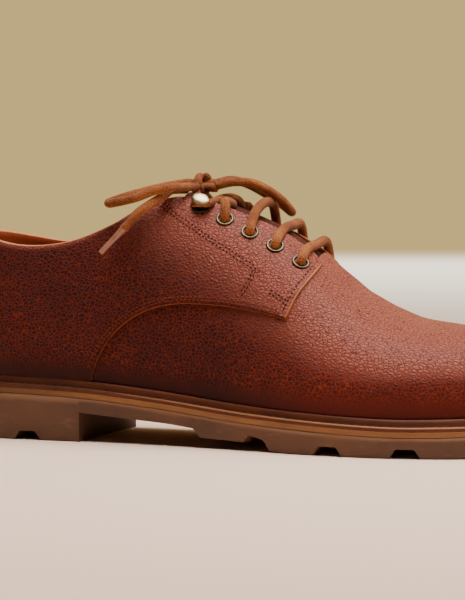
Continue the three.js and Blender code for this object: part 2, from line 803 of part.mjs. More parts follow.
// The lace over the throat: bars across the lower pairs, and two strands from the top pair that
// cross and reach for the hooks. It lies above the facings by the eyelet's rim and half its own
// width, sinks to the tongue between them, and arches over it where it is slack.
const laceRise = quarterStep + 3 * seam + eyeletRim + laceWidth / 2;
const tongueRise = laceWidth / 2 + 2 * seam - upperWall;
function strand(from, to, slack, reach = 1) {
  const count = 10;
  const points = Array.from({ length: count + 1 }, (_, i) => {
    const share = (reach * i) / count;
    const x = from.x + (to.x - from.x) * share;
    const y = from.y + (to.y - from.y) * share;
    const off = Math.abs(y - throatMiddle(x)) / throatHalf(x);
    const dip = (laceRise - tongueRise - slack) * (1 - clamp(off) ** 2);
    return formAbove(x, y, laceRise - dip).point;
  });
  return cord(points, 9);
}
const barSlack = [0, 0, 4]; // how far each bar arches over the tongue, from the front one back
barSlack.forEach((slack, n) => {
  const [outer, inner] = fasteningPlaces[n];
  addMesh(`lace_bar_${n + 1}`, strand(outer, inner, slack), laceCord);
});
const crossReach = 0.82; // share of the way to the hook that a crossing strand reaches
const [topPair, hooks] = fasteningPlaces.slice(-2);
const crossings = [0, 1].map((n) => strand(topPair[n], hooks[1 - n], 0, crossReach));
addMesh("lace_crossing", crossings[0].add(crossings[1]), laceCord);

// The bow: its knot stands over the top of the tongue, and its loops and ends are free cords.
// Places are measured from the knot's middle, in lace widths along, across and up.
const knotAlong = 0.397 * soleLength;
const knotRise = 2.9; // middle of the knot above the upper's form
const knotSize = { along: 1.3, across: 1.05, up: 0.72 };
const outerLoop = [
  [-1.5, -0.2, 0.25],
  [-3.1, -1.5, -0.05],
  [-4.8, -2.8, -0.5],
  [-6.5, -4.0, -1.05],
  [-7.75, -4.9, -1.55],
  [-7.9, -5.8, -1.75],
  [-7.0, -6.5, -1.7],
  [-4.8, -6.3, -1.2],
  [-3.1, -5.8, -0.55],
  [-1.7, -5.2, -0.25],
  [-0.75, -3.2, -0.15],
  [-0.15, -1.45, -0.15],
];
const innerLoop = [
  [1.55, 0.3, 0.25],
  [2.4, 1.5, 0.5],
  [3.6, 2.6, 0.2],
  [5.1, 3.8, -0.744],
  [6.7, 4.6, -1.888],
  [7.8, 4.4, -2.66],
  [8.2, 3.4, -2.554],
  [7.3, 2.4, -1.27],
  [5.2, 1.5, 0.08],
  [3.3, 0.3, 0.346],
  [1.6, -0.5, -0.016],
];
const outerEnd = [
  [-1.35, -1.25, -0.4],
  [-1.75, -2.6, -0.4],
  [-2.1, -3.65, -0.49],
  [-2.5, -4.8, -1.11],
  [-3.3, -5.9, -1.79],
  [-4.4, -6.6, -2.68],
  [-5.2, -6.9, -3.67],
  [-5.75, -7.05, -4.26],
];
const innerEnd = [
  [-0.55, 1.12, -0.4],
  [-1.3, 2.9, -0.5],
  [-2.2, 5.0, -1.15],
  [-3.3, 6.4, -2.1],
  [-4.5, 7.2, -3.3],
  [-5.5, 7.6, -4.6],
  [-6.0, 7.75, -5.3],
];
const knot = formAbove(knotAlong, throatMiddle(knotAlong) - 0.4 * laceWidth, 0).point;
knot.z += knotRise;
const fromKnot = (places) =>
  places.map(([x, y, z]) => new THREE.Vector3(x, y, z).multiplyScalar(laceWidth).add(knot));
const knotBall = new THREE.SphereGeometry(laceWidth, 10, 7);
knotBall.rotateX(Math.PI / 2).scale(knotSize.along, knotSize.across, knotSize.up);
addMesh("lace_knot", solid(knotBall.translate(knot.x, knot.y, knot.z)), laceCord);
addMesh("lace_loop_outer", cord(fromKnot(outerLoop), 14), laceCord);
addMesh("lace_loop_inner", cord(fromKnot(innerLoop), 14), laceCord);

// An aglet: a stiff tip that carries on in line with the cord's end.
function aglet(places) {
  const [before, end] = fromKnot(places.slice(-2));
  const way = end.clone().sub(before).normalize();
  const start = end.clone().addScaledVector(way, seam);
  return cord([start, start.clone().addScaledVector(way, agletLength)], 1, agletWidth);
}
for (const [where, places] of [
  ["outer", outerEnd],
  ["inner", innerEnd],
]) {
  addMesh(`lace_end_${where}`, cord(fromKnot(places), 8), laceCord);
  addMesh(`aglet_${where}`, aglet(places), clearTip);
}

// Moves the origin to the middle of the shoe's box, on the floor.
const sizes = new THREE.Box3().setFromObject(shoe);
const centre = sizes.getCenter(new THREE.Vector3());
shoe.position.set(-centre.x, -centre.y, 0);

export default shoe;
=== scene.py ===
import math

import bmesh
import bpy
import numpy as np
from mathutils import Matrix, Vector


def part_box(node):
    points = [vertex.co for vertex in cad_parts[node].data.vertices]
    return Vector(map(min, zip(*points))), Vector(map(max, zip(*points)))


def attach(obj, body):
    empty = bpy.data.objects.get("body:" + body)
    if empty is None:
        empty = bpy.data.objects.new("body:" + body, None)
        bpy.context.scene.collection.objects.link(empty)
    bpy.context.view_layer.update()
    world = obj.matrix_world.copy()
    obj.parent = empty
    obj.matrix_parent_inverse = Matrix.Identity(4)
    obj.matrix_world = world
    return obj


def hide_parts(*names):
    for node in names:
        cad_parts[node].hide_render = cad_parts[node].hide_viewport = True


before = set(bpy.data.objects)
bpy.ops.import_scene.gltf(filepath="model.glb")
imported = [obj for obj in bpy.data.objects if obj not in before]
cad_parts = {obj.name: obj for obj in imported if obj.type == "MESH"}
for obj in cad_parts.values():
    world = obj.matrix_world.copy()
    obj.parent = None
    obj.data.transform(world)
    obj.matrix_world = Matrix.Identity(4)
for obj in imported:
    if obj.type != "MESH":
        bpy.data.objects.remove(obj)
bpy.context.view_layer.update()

# The shoe's own frame. Sizes are millimetres: x from the back of the sole to the toe, y to the
# inner side of the foot, z up from the floor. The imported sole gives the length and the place.
MM = 0.001
sole_low, sole_high = (np.array(corner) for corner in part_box("outsole"))
SOLE_LENGTH = (sole_high[0] - sole_low[0]) / MM
BALL_WIDTH = 103.0
HEEL_HEIGHT = 26.4
FORE_HEIGHT = 13.7
TOE_SPRING = 5.0
WELT_WIDTH = 5.5
# share of the length, middle line and half width as shares of the ball width
PLAN = np.array(
    [
        [0.0, 0.0, 0.325],
        [0.1, 0.0, 0.34],
        [0.2, -0.003, 0.342],
        [0.3, -0.018, 0.335],
        [0.4, -0.037, 0.338],
        [0.5, -0.045, 0.373],
        [0.6, -0.031, 0.439],
        [0.7, 0.004, 0.495],
        [0.8, 0.041, 0.5],
        [0.9, 0.078, 0.476],
        [1.0, 0.107, 0.447],
    ]
)
# share of the length, share of the rise from ball to heel, share of the toe spring
ROCKER = np.array(
    [
        [0.0, 1.0, 0.0],
        [0.1, 0.985, 0.0],
        [0.235, 0.875, 0.0],
        [0.35, 0.645, 0.0],
        [0.49, 0.3, 0.0],
        [0.57, 0.165, 0.0],
        [0.65, 0.07, 0.0],
        [0.74, 0.0, 0.0],
        [0.8, 0.0, 0.03],
        [0.87, 0.0, 0.18],
        [1.0, 0.0, 1.0],
    ]
)


def through(table, column, at):
    """Cubic Hermite curve through a column of a table, keyed by the first column. The slope at a
    row is that of the chord between its neighbours."""
    key, value = table[:, 0], table[:, column]
    at = np.clip(at, key[0], key[-1])
    i = np.clip(np.searchsorted(key, at, side="right") - 1, 0, len(key) - 2)
    before, after = np.maximum(np.arange(len(key)) - 1, 0), np.minimum(np.arange(len(key)) + 1, len(key) - 1)
    slope = (value[after] - value[before]) / (key[after] - key[before])
    h = key[i + 1] - key[i]
    u = (at - key[i]) / h
    return (
        (1 + 2 * u) * (1 - u) ** 2 * value[i]
        + u * (1 - u) ** 2 * h * slope[i]
        + u**2 * (3 - 2 * u) * value[i + 1]
        - u**2 * (1 - u) * h * slope[i + 1]
    )


def rounded(past, reach, power):
    """1 on the straight, then the quarter of a superellipse down to 0 at the end."""
    b = np.clip(past / reach, 0, 1)
    return np.maximum(1 - b**power, 0) ** (1 / power)


def plan_ends(t):
    """How much of the half width is left near the round heel and the round toe."""
    return rounded(0.125 - t, 0.125, 2.2) * rounded(t - 0.73, 0.27, 2.15)


def edge(t, side, inset):
    """Line of a layer inset from the sole's edge: x runs linearly with t, y is the middle line
    plus side times the half width, less the inset, times the rounding of the ends."""
    half = BALL_WIDTH * through(PLAN, 2, t) - inset
    x = inset + t * (SOLE_LENGTH - 2 * inset)
    return x, BALL_WIDTH * through(PLAN, 1, t) + side * half * plan_ends(t)


def welt_top(t):
    """Height of the welt's upper face over the floor."""
    rise = (HEEL_HEIGHT - FORE_HEIGHT) * through(ROCKER, 1, t)
    return FORE_HEIGHT + rise + TOE_SPRING * through(ROCKER, 2, t)


def round_trip(count):
    """Shares t and sides once round the outline, at even steps of its length."""
    eased = (1 - np.cos(np.linspace(0, np.pi, 3000))) / 2
    t = np.concatenate([eased, eased[::-1][1:]])
    side = np.concatenate([-np.ones(len(eased)), np.ones(len(eased) - 1)])
    x, y = edge(t, side, 0.0)
    run = np.concatenate([[0], np.cumsum(np.hypot(np.diff(x), np.diff(y)))])
    at = np.linspace(0, run[-1], count, endpoint=False)
    turn = run[len(eased) - 1]
    return np.interp(at, run, t), np.where(at <= turn, -1.0, 1.0)


rim_t, rim_side = round_trip(1200)
plan_middle = (edge(rim_t, rim_side, 0.0)[1].max() + edge(rim_t, rim_side, 0.0)[1].min()) / 2
ORIGIN = np.array([sole_low[0], (sole_low[1] + sole_high[1]) / 2 - plan_middle * MM, 0.0])


def to_frame(points):
    """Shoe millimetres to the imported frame's metres."""
    return np.asarray(points) * MM + ORIGIN


# The camera stands low at the shoe's outer side, turned towards the heel, with a long lens, as
# the photograph was taken. The view is worked out from where it stands and which way it looks.
CAMERA_PLACE = (529.9, -1089.3, 130.9)
CAMERA_YAW = 0.3491
CAMERA_PITCH = 0.0569
CAMERA_LENS = 150.0

look = Vector(
    (
        -math.sin(CAMERA_YAW) * math.cos(CAMERA_PITCH),
        math.cos(CAMERA_YAW) * math.cos(CAMERA_PITCH),
        -math.sin(CAMERA_PITCH),
    )
)
right = Vector((math.cos(CAMERA_YAW), math.sin(CAMERA_YAW), 0))
up = right.cross(look)
camera = bpy.data.objects.new("camera", bpy.data.cameras.new("camera"))
camera.data.lens = CAMERA_LENS
camera.data.sensor_width = 36
camera.data.sensor_fit = "AUTO"
camera.data.clip_end = 20
turn = Matrix((right, up, -look)).transposed().to_4x4()
camera.matrix_world = Matrix.Translation(Vector(to_frame(CAMERA_PLACE))) @ turn
bpy.context.collection.objects.link(camera)
bpy.context.scene.camera = camera


# The floor and the light: a plain pale floor, a large soft light over the toe and behind, a weak
# one from the camera's side, and a pale surround.
def new_object(name, mesh):
    piece = bpy.data.objects.new(name, mesh)
    bpy.context.collection.objects.link(piece)
    return piece


def new_mesh(name, points, faces, smooth=True):
    mesh = bpy.data.meshes.new(name)
    mesh.from_pydata(to_frame(points).tolist(), [], np.asarray(faces).tolist())
    mesh.polygons.foreach_set("use_smooth", np.full(len(mesh.polygons), smooth))
    mesh.update()
    return mesh


def node(tree, kind, values=None, **settings):
    """Adds a shader node. A socket among the values is linked, and anything else is set."""
    made = tree.nodes.new(kind)
    for key, value in settings.items():
        setattr(made, key, value)
    for key, value in (values or {}).items():
        if isinstance(value, bpy.types.NodeSocket):
            tree.links.new(value, made.inputs[key])
        else:
            made.inputs[key].default_value = value
    return made


def math_node(tree, operation, first, second=0.0, third=0.0):
    """Result of one sum on numbers or sockets."""
    values = {0: first, 1: second, 2: third}
    return node(tree, "ShaderNodeMath", values, operation=operation).outputs[0]


def mix_colour(tree, share, first, second, blend="MIX"):
    """Blend of two colours by a share."""
    values = {0: share, 6: first, 7: second}
    return node(tree, "ShaderNodeMix", values, data_type="RGBA", blend_type=blend).outputs[2]


def step_range(tree, value, low, high, out_low=0.0, out_high=1.0):
    """Smooth step of a value from one range to another."""
    values = {0: value, 1: low, 2: high, 3: out_low, 4: out_high}
    return node(tree, "ShaderNodeMapRange", values, interpolation_type="SMOOTHSTEP").outputs[0]


def colour(red, green, blue):
    """A screen colour, 0 to 255, as the linear colour that a shader takes."""
    share = np.array([red, green, blue]) / 255
    linear = np.where(share <= 0.04045, share / 12.92, ((share + 0.055) / 1.055) ** 2.4)
    return (*linear.tolist(), 1.0)


def new_material(name):
    """An empty node material, its Principled shader and its tree."""
    material = bpy.data.materials.new(name)
    material.use_nodes = True
    tree = material.node_tree
    return material, tree, tree.nodes["Principled BSDF"]


def stage_points():
    """Sweep across the view: the floor runs from behind the camera to the backdrop's foot, turns
    up on a quarter circle, and rises as the backdrop. Measured along the camera's level look."""
    turns = np.linspace(0, np.pi / 2, 17)
    reach = BACKDROP_DISTANCE - BACKDROP_BEND
    along = np.concatenate([[-3000.0, 0.0], reach + BACKDROP_BEND * np.sin(turns), [BACKDROP_DISTANCE]])
    height = np.concatenate([[0.0, 0.0], BACKDROP_BEND * (1 - np.cos(turns)), [3500.0]])
    level = np.array([-math.sin(CAMERA_YAW), math.cos(CAMERA_YAW), 0.0])
    foot = np.array([*CAMERA_PLACE[:2], 0.0])
    line = foot + along[:, None] * level + height[:, None] * np.array([0.0, 0.0, 1.0])
    aside = np.array([math.cos(CAMERA_YAW), math.sin(CAMERA_YAW), 0.0])
    return line[:, None] + np.linspace(-4500.0, 4500.0, 9)[None, :, None] * aside


BACKDROP_DISTANCE = 3090.0
BACKDROP_BEND = 70.0
sweep = stage_points()
rows, columns = np.arange(sweep.shape[0] - 1)[:, None], np.arange(sweep.shape[1] - 1)[None, :]
corner = rows * sweep.shape[1] + columns
floor_faces = np.stack([corner, corner + 1, corner + 1 + sweep.shape[1], corner + sweep.shape[1]], -1)
floor = new_object("floor", new_mesh("floor", sweep.reshape(-1, 3), floor_faces.reshape(-1, 4)))
floor_material, tree, shader = new_material("floor and backdrop")
place = node(tree, "ShaderNodeTexCoord").outputs["Object"]
height = node(tree, "ShaderNodeSeparateXYZ", {0: place}).outputs[2]
distance = node(tree, "ShaderNodeVectorMath", {0: place}, operation="LENGTH").outputs["Value"]
far_share = step_range(tree, distance, 0.35, 1.8)
rise_share = step_range(tree, height, 0.0, 0.02)
paper = mix_colour(tree, rise_share, colour(240, 229, 208), colour(198, 170, 109))
lit = mix_colour(tree, far_share, colour(229, 197, 174), (0.0, 0.0, 0.0, 1.0))
tree.links.new(lit, shader.inputs["Base Color"])
tree.links.new(paper, shader.inputs["Emission Color"])
glow = math_node(tree, "MULTIPLY", far_share, math_node(tree, "MULTIPLY_ADD", rise_share, -1.1, 2.4))
tree.links.new(glow, shader.inputs["Emission Strength"])
shader.inputs["Specular IOR Level"].default_value = 0.0
shader.inputs["Roughness"].default_value = 0.8
floor.data.materials.append(floor_material)

# name, place, size and power of each soft light; all face the middle of the shoe
LIGHTS = [
    ("sky", (240.0, -40.0, 900.0), 650.0, 20.0),
    ("window", (900.0, 250.0, 450.0), 500.0, 4.0),
    ("fill", (-200.0, -1000.0, 600.0), 600.0, 0.1),
]
for name, place, size, power in LIGHTS:
    data = bpy.data.lights.new(name, "AREA")
    data.size = size * MM
    data.energy = power
    lamp = new_object(name, data)
    lamp.location = to_frame(place)
    aim = Vector(to_frame((150.0, 0.0, 50.0))) - lamp.location
    lamp.rotation_euler = aim.to_track_quat("-Z", "Y").to_euler()
world = bpy.data.worlds.new("surround")
world.use_nodes = True
tree = world.node_tree
way = node(tree, "ShaderNodeTexCoord").outputs["Generated"]
facing = node(tree, "ShaderNodeVectorMath", {0: way, 1: tuple(look)}, operation="DOT_PRODUCT")
behind = step_range(tree, facing.outputs["Value"], 0.1, 0.85)
paper = mix_colour(tree, behind, colour(22, 19, 17), colour(200, 184, 150))
tree.links.new(paper, tree.nodes["Background"].inputs[0])
tree.nodes["Background"].inputs[1].default_value = 1.0
bpy.context.scene.world = world


# The form of the last that every leather piece follows, from the same sections as the solids:
# share of the length; the ridge's place across, as a share of the ball width; its height over the
# welt, as a share of the instep; fullness of the section; belly, as a share of the welt's width.
INSTEP = 98.0
BACK_HEIGHT = 72.0
BELLY_HEIGHT = 14.0
BELLY_SHARE = 0.28
RIDGE = np.array(
    [
        [0.0, 0.0, 1.28, 2.0, 0.5],
        [0.2, 0.0, 1.28, 2.0, 0.4],
        [0.3, -0.005, 1.13, 2.35, 0.4],
        [0.35, -0.008, 1.0, 2.5, 0.41],
        [0.4, -0.01, 0.962, 2.35, 0.42],
        [0.464, -0.01, 0.925, 2.05, 0.45],
        [0.53, 0.0, 0.857, 1.87, 0.45],
        [0.58, 0.01, 0.764, 1.85, 0.42],
        [0.626, 0.025, 0.652, 1.85, 0.4],
        [0.682, 0.045, 0.54, 1.95, 0.35],
        [0.735, 0.06, 0.465, 2.1, 0.32],
        [0.808, 0.078, 0.42, 2.3, 0.32],
        [0.861, 0.088, 0.392, 2.4, 0.35],
        [1.0, 0.107, 0.35, 2.4, 0.4],
    ]
)
# share of the back's height, forward lean as a share of the welt's width
BACK_CURVE = np.array(
    [[0.0, 0.0], [0.22, -0.45], [0.45, -0.45], [0.7, -0.1], [1.0, 0.5], [1.8, 2.0]]
)
BACK_REACH = 0.22


def form(t, side, a, grow):
    """Point of the form. Up to the belly the wall rises on a sine that swells outwards; above it
    each side is a quarter of a superellipse from the belly to the ridge. grow moves it outwards."""
    t, side, a, grow = np.broadcast_arrays(t, side, a, grow)
    foot_x, foot_y = edge(t, side, WELT_WIDTH - grow)
    ends = plan_ends(t)
    top = rounded(t - 0.83, 0.17, 2.3)
    middle = BALL_WIDTH * through(PLAN, 1, t)
    across = middle + (BALL_WIDTH * through(RIDGE, 1, t) - middle) * ends
    height = (INSTEP * through(RIDGE, 2, t) + grow) * top
    power = 2 / through(RIDGE, 3, t)
    belly = WELT_WIDTH * through(RIDGE, 4, t) * ends
    waist = BELLY_HEIGHT * top
    low = np.clip(a / BELLY_SHARE, 0, 1)
    turn = np.clip((a - BELLY_SHARE) / (1 - BELLY_SHARE), 0, 1) * np.pi / 2
    width = side * (foot_y - across) + belly
    y_wall = foot_y + side * belly * np.sin(low * np.pi / 2)
    y_top = across + side * width * np.maximum(np.cos(turn), 0) ** power
    up_top = waist + (height - waist) * np.sin(turn) ** power
    y = np.where(a < BELLY_SHARE, y_wall, y_top)
    rise = np.where(a < BELLY_SHARE, waist * low, up_top)
    bend = np.clip(1 - t / BACK_REACH, 0, 1) ** 2
    x = foot_x + WELT_WIDTH * through(BACK_CURVE, 1, rise / BACK_HEIGHT) * bend
    return np.stack([x, y, welt_top(t) + rise], axis=-1)


def share_at(x, grow):
    """Share of the grown form's length at a place along."""
    inset = WELT_WIDTH - grow
    return (x - inset) / (SOLE_LENGTH - 2 * inset)


def girth_at_height(t, side, z, grow):
    """Halving search for how far up the section reaches a height."""
    low, high = np.zeros(np.shape(t)), np.ones(np.shape(t))
    for _ in range(30):
        a = (low + high) / 2
        below = form(t, side, a, grow)[..., 2] < z
        low, high = np.where(below, a, low), np.where(below, high, a)
    return (low + high) / 2


def girth_at_width(t, side, y, grow):
    """Halving search for how far up the section comes in to a place across."""
    low, high = np.full(np.shape(t), BELLY_SHARE), np.ones(np.shape(t))
    for _ in range(30):
        a = (low + high) / 2
        outside = side * (form(t, side, a, grow)[..., 1] - y) > 0
        low, high = np.where(outside, a, low), np.where(outside, high, a)
    return (low + high) / 2


def lay_on(x, y, grow):
    """Points on the form over places in plan."""
    x, y = np.broadcast_arrays(np.asarray(x, float), np.asarray(y, float))
    t = share_at(x, grow)
    side = np.where(y < form(t, 1.0, 1.0, grow)[..., 1], -1.0, 1.0)
    return form(t, side, girth_at_width(t, side, y, grow), grow)


def normal_on(x, y, grow):
    """Outward unit normal of the form over places in plan, from steps of half a millimetre."""
    step = 0.5
    along = lay_on(np.add(x, step), y, grow) - lay_on(np.subtract(x, step), y, grow)
    over = lay_on(x, np.add(y, step), grow) - lay_on(x, np.subtract(y, step), grow)
    normal = np.cross(along, over)
    return normal / np.linalg.norm(normal, axis=-1, keepdims=True)


# The throat and its row of fastenings, which the leather, eyelets, hooks and lace share.
THROAT_TOP = 119.0
THROAT_END = 178.0
THROAT_HALF_TOP = 12.6
THROAT_HALF_END = 10.8
FACING_CORNER = 5.5
WALL = 1.8
STEP = 1.3
FIRST_EYELET = 173.6
EYELET_PITCH = 12.3
HOOK_INSET = 4.6
EYELET_INSET = 10.4
EYELET_COUNT = 4


def throat_middle(x):
    return BALL_WIDTH * through(RIDGE, 1, np.asarray(x) / SOLE_LENGTH)


def throat_half(x):
    share = np.clip((x - THROAT_TOP) / (THROAT_END - THROAT_TOP), 0, 1)
    return THROAT_HALF_TOP + (THROAT_HALF_END - THROAT_HALF_TOP) * share


def fastening(n, side):
    """Place in plan of an eyelet, counted from the front, or of the hook after the last one."""
    x = FIRST_EYELET - n * EYELET_PITCH
    inset = EYELET_INSET + (HOOK_INSET - EYELET_INSET) * n / EYELET_COUNT
    return np.array([x, throat_middle(x) + side * (throat_half(x) + inset)])


# The bow: a round waxed cord tied over the top of the tongue. Its two loops and two ends are free;
# a turn of the cord wraps the middle. Ends carry thin sleeves. Routes are in lace widths from the
# knot's middle, as in the solids.
LACE_WIDTH = 4.6
CORD_WIDTH = 4.15
KNOT_RISE = 2.9
knot_x = 0.397 * SOLE_LENGTH
knot_y = throat_middle(knot_x) - 0.4 * LACE_WIDTH
KNOT = lay_on(knot_x, knot_y, 0.0) + np.array([0.0, 0.0, KNOT_RISE])
OUTER_LOOP = [
    (-1.5, -0.2, 0.25),
    (-3.1, -1.5, -0.05),
    (-4.8, -2.8, -0.5),
    (-6.5, -4.0, -1.05),
    (-7.75, -4.9, -1.55),
    (-7.9, -5.8, -1.75),
    (-7.0, -6.5, -1.7),
    (-4.8, -6.3, -1.2),
    (-3.1, -5.8, -0.55),
    (-1.7, -5.2, -0.25),
    (-0.75, -3.2, -0.15),
    (-0.15, -1.45, -0.15),
]
INNER_LOOP = [
    (1.55, 0.3, 0.25),
    (2.4, 1.5, 0.5),
    (3.6, 2.6, 0.2),
    (5.1, 3.8, -0.744),
    (6.7, 4.6, -1.888),
    (7.8, 4.4, -2.66),
    (8.2, 3.4, -2.554),
    (7.3, 2.4, -1.27),
    (5.2, 1.5, 0.08),
    (3.3, 0.3, 0.346),
    (1.6, -0.5, -0.016),
]
OUTER_END = [
    (-1.35, -1.25, -0.4),
    (-1.75, -2.6, -0.4),
    (-2.1, -3.65, -0.49),
    (-2.5, -4.8, -1.11),
    (-3.3, -5.9, -1.79),
    (-4.4, -6.6, -2.68),
    (-5.2, -6.9, -3.67),
    (-5.75, -7.05, -4.26),
]
INNER_END = [
    (-0.55, 1.12, -0.4),
    (-1.3, 2.9, -0.5),
    (-2.2, 5.0, -1.15),
    (-3.3, 6.4, -2.1),
    (-4.5, 7.2, -3.3),
    (-5.5, 7.6, -4.6),
    (-6.0, 7.75, -5.3),
]


def smooth_path(points, spacing=1.0):
    """Catmull-Rom curve through the points, resampled at even steps: between two points it is the
    cubic whose slope at each is half the way from the point before to the point after."""
    points = np.asarray(points, float)
    before = np.vstack([2 * points[0] - points[1], points[:-2]])
    after = np.vstack([points[2:], 2 * points[-1] - points[-2]])
    u = np.linspace(0, 1, 24, endpoint=False)[None, :, None]
    p, q = points[:-1, None], points[1:, None]
    m, n = (q - before[:, None]) / 2, (after[:, None] - p) / 2
    curve = (
        (2 * u**3 - 3 * u**2 + 1) * p
        + (u**3 - 2 * u**2 + u) * m
        + (3 * u**2 - 2 * u**3) * q
        + (u**3 - u**2) * n
    ).reshape(-1, 3)
    curve = np.vstack([curve, points[-1:]])
    run = np.concatenate([[0], np.cumsum(np.linalg.norm(np.diff(curve, axis=0), axis=1))])
    at = np.linspace(0, run[-1], max(int(run[-1] / spacing), 2) + 1)
    return np.stack([np.interp(at, run, curve[:, k]) for k in range(3)], axis=1)


def carried_frames(path):
    """Two directions square to the path at each point, turned as little as possible."""
    ahead = np.gradient(path, axis=0)
    ahead /= np.linalg.norm(ahead, axis=1, keepdims=True)
    first = np.cross(ahead[0], [0.31, 0.17, 0.93])
    sides = [first / np.linalg.norm(first)]
    for direction in ahead[1:]:
        carried = sides[-1] - direction * sides[-1].dot(direction)
        sides.append(carried / np.linalg.norm(carried))
    sides = np.array(sides)
    return sides, np.cross(ahead, sides)


def grid_faces(rows, columns, close_columns=False):
    """Quads of a grid of points, row after row, with their corners' places as shares."""
    i = np.arange(rows - 1)[:, None]
    j = np.arange(columns if close_columns else columns - 1)[None, :]
    k = (j + 1) % columns
    faces = np.stack([i * columns + j, i * columns + k, (i + 1) * columns + k, (i + 1) * columns + j], -1)
    across = np.broadcast_arrays(i, j)[1]
    u = np.stack([across, across + 1, across + 1, across], -1)
    down = np.broadcast_arrays(i, j)[0]
    v = np.stack([down, down, down + 1, down + 1], -1)
    return faces.reshape(-1, 4), u.reshape(-1), v.reshape(-1)


def add_tube(name, path, width, material, sides=14, widths=None, squash=1.0):
    """Round cord: circles of the width on the carried frames, drawn in to a point over the last
    ring at each end. The UV map holds turns round it, and millimetres along it."""
    path = np.asarray(path)
    first, second = carried_frames(path)
    radius = np.full(len(path), width / 2) if widths is None else np.asarray(widths) / 2
    ahead = np.gradient(path, axis=0)
    ahead /= np.linalg.norm(ahead, axis=1, keepdims=True)
    ease = np.array([0.0, 0.55, 0.85])
    back = np.array([0.38, 0.26, 0.1])
    start = path[0] - ahead[0] * (back * radius[0])[:, None]
    finish = path[-1] + ahead[-1] * (back[::-1] * radius[-1])[:, None]
    path = np.vstack([start, path, finish])
    radius = np.concatenate([radius[0] * ease, radius, radius[-1] * ease[::-1]])
    first = np.vstack([np.repeat(first[:1], 3, 0), first, np.repeat(first[-1:], 3, 0)])
    second = np.vstack([np.repeat(second[:1], 3, 0), second, np.repeat(second[-1:], 3, 0)])
    angle = np.linspace(0, 2 * np.pi, sides, endpoint=False)
    circle = (
        np.cos(angle)[None, :, None] * first[:, None]
        + squash * np.sin(angle)[None, :, None] * second[:, None]
    )
    points = path[:, None] + radius[:, None, None] * circle
    run = np.concatenate([[0], np.cumsum(np.linalg.norm(np.diff(path, axis=0), axis=1))])
    faces, u, v = grid_faces(len(path), sides, close_columns=True)
    mesh = new_mesh(name, points.reshape(-1, 3), faces)
    layer = mesh.uv_layers.new(name="run")
    layer.data.foreach_set("uv", np.stack([u / sides, run[v]], 1).reshape(-1))
    return finish_piece(name, mesh, material)


def finish_piece(name, mesh, material):
    """Closes the mesh's seams and poles, gives it its material and fixes it to the shoe."""
    work = bmesh.new()
    work.from_mesh(mesh)
    bmesh.ops.remove_doubles(work, verts=work.verts, dist=2e-6)
    bmesh.ops.dissolve_degenerate(work, dist=1e-6, edges=work.edges)
    bmesh.ops.recalc_face_normals(work, faces=work.faces)
    work.to_mesh(mesh)
    work.free()
    piece = new_object(name, mesh)
    mesh.materials.append(material)
    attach(piece, "root")
    return piece


def lace_material():
    """Waxed round cord: strands cross in a braid, dirt and shade lie between them."""
    material, tree, shader = new_material("waxed lace")
    uv = node(tree, "ShaderNodeUVMap", uv_map="run").outputs[0]
    parts = node(tree, "ShaderNodeSeparateXYZ", {0: uv})
    around = math_node(tree, "MULTIPLY", parts.outputs[0], 9 * 2 * math.pi)
    along = math_node(tree, "MULTIPLY", parts.outputs[1], 2 * math.pi / 1.0)
    one = math_node(tree, "SINE", math_node(tree, "ADD", around, along))
    other = math_node(tree, "SINE", math_node(tree, "SUBTRACT", around, along))
    braid = math_node(tree, "MULTIPLY", one, other)
    place = node(tree, "ShaderNodeTexCoord").outputs["Object"]
    fuzz = node(tree, "ShaderNodeTexNoise", {"Vector": place, "Scale": 1500.0, "Detail": 3.0}).outputs[0]
    patches = node(tree, "ShaderNodeTexNoise", {"Vector": place, "Scale": 70.0, "Detail": 3.0}).outputs[0]
    base = mix_colour(tree, step_range(tree, patches, 0.35, 0.7), colour(132, 70, 32), colour(174, 102, 52))
    deep = step_range(tree, math_node(tree, "MULTIPLY_ADD", fuzz, 4.5, braid), 2.6, 1.2)
    shade = math_node(tree, "MULTIPLY", deep, 0.8)
    tree.links.new(mix_colour(tree, shade, base, colour(70, 26, 9)), shader.inputs["Base Color"])
    height = math_node(tree, "MULTIPLY_ADD", braid, 0.35, math_node(tree, "MULTIPLY", fuzz, 2.0))
    bump = node(tree, "ShaderNodeBump", {"Height": height, "Strength": 0.9, "Distance": 0.0005})
    tree.links.new(bump.outputs[0], shader.inputs["Normal"])
    shader.inputs["Roughness"].default_value = 0.8
    shader.inputs["Specular IOR Level"].default_value = 0.15
    shader.inputs["Sheen Weight"].default_value = 0.06
    shader.inputs["Sheen Roughness"].default_value = 0.4
    return material


def sleeve_material():
    """Thin glossy plastic over the end of the cord, a little darker than it."""
    material, tree, shader = new_material("aglet sleeve")
    place = node(tree, "ShaderNodeTexCoord").outputs["Object"]
    cloud = node(tree, "ShaderNodeTexNoise", {"Vector": place, "Scale": 260.0, "Detail": 3.0}).outputs[0]
    base = mix_colour(tree, cloud, colour(116, 64, 48), colour(168, 112, 92))
    tree.links.new(base, shader.inputs["Base Color"])
    bump = node(tree, "ShaderNodeBump", {"Height": cloud, "Strength": 0.3, "Distance": 0.0003})
    tree.links.new(bump.outputs[0], shader.inputs["Normal"])
    shader.inputs["Roughness"].default_value = 0.18
    shader.inputs["Coat Weight"].default_value = 0.8
    shader.inputs["Coat Roughness"].default_value = 0.1
    return material


lace = lace_material()
sleeve = sleeve_material()
AGLET_LENGTH = 15.0
AGLET_WIDTH = 2.7


def free_cord(name, route):
    """One free stretch of the lace: a cord along its route, in place of the solid part."""
    path = smooth_path(KNOT + np.array(route) * LACE_WIDTH)
    piece = add_tube(name + "_cord", path, CORD_WIDTH, lace)
    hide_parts(name)
    return path


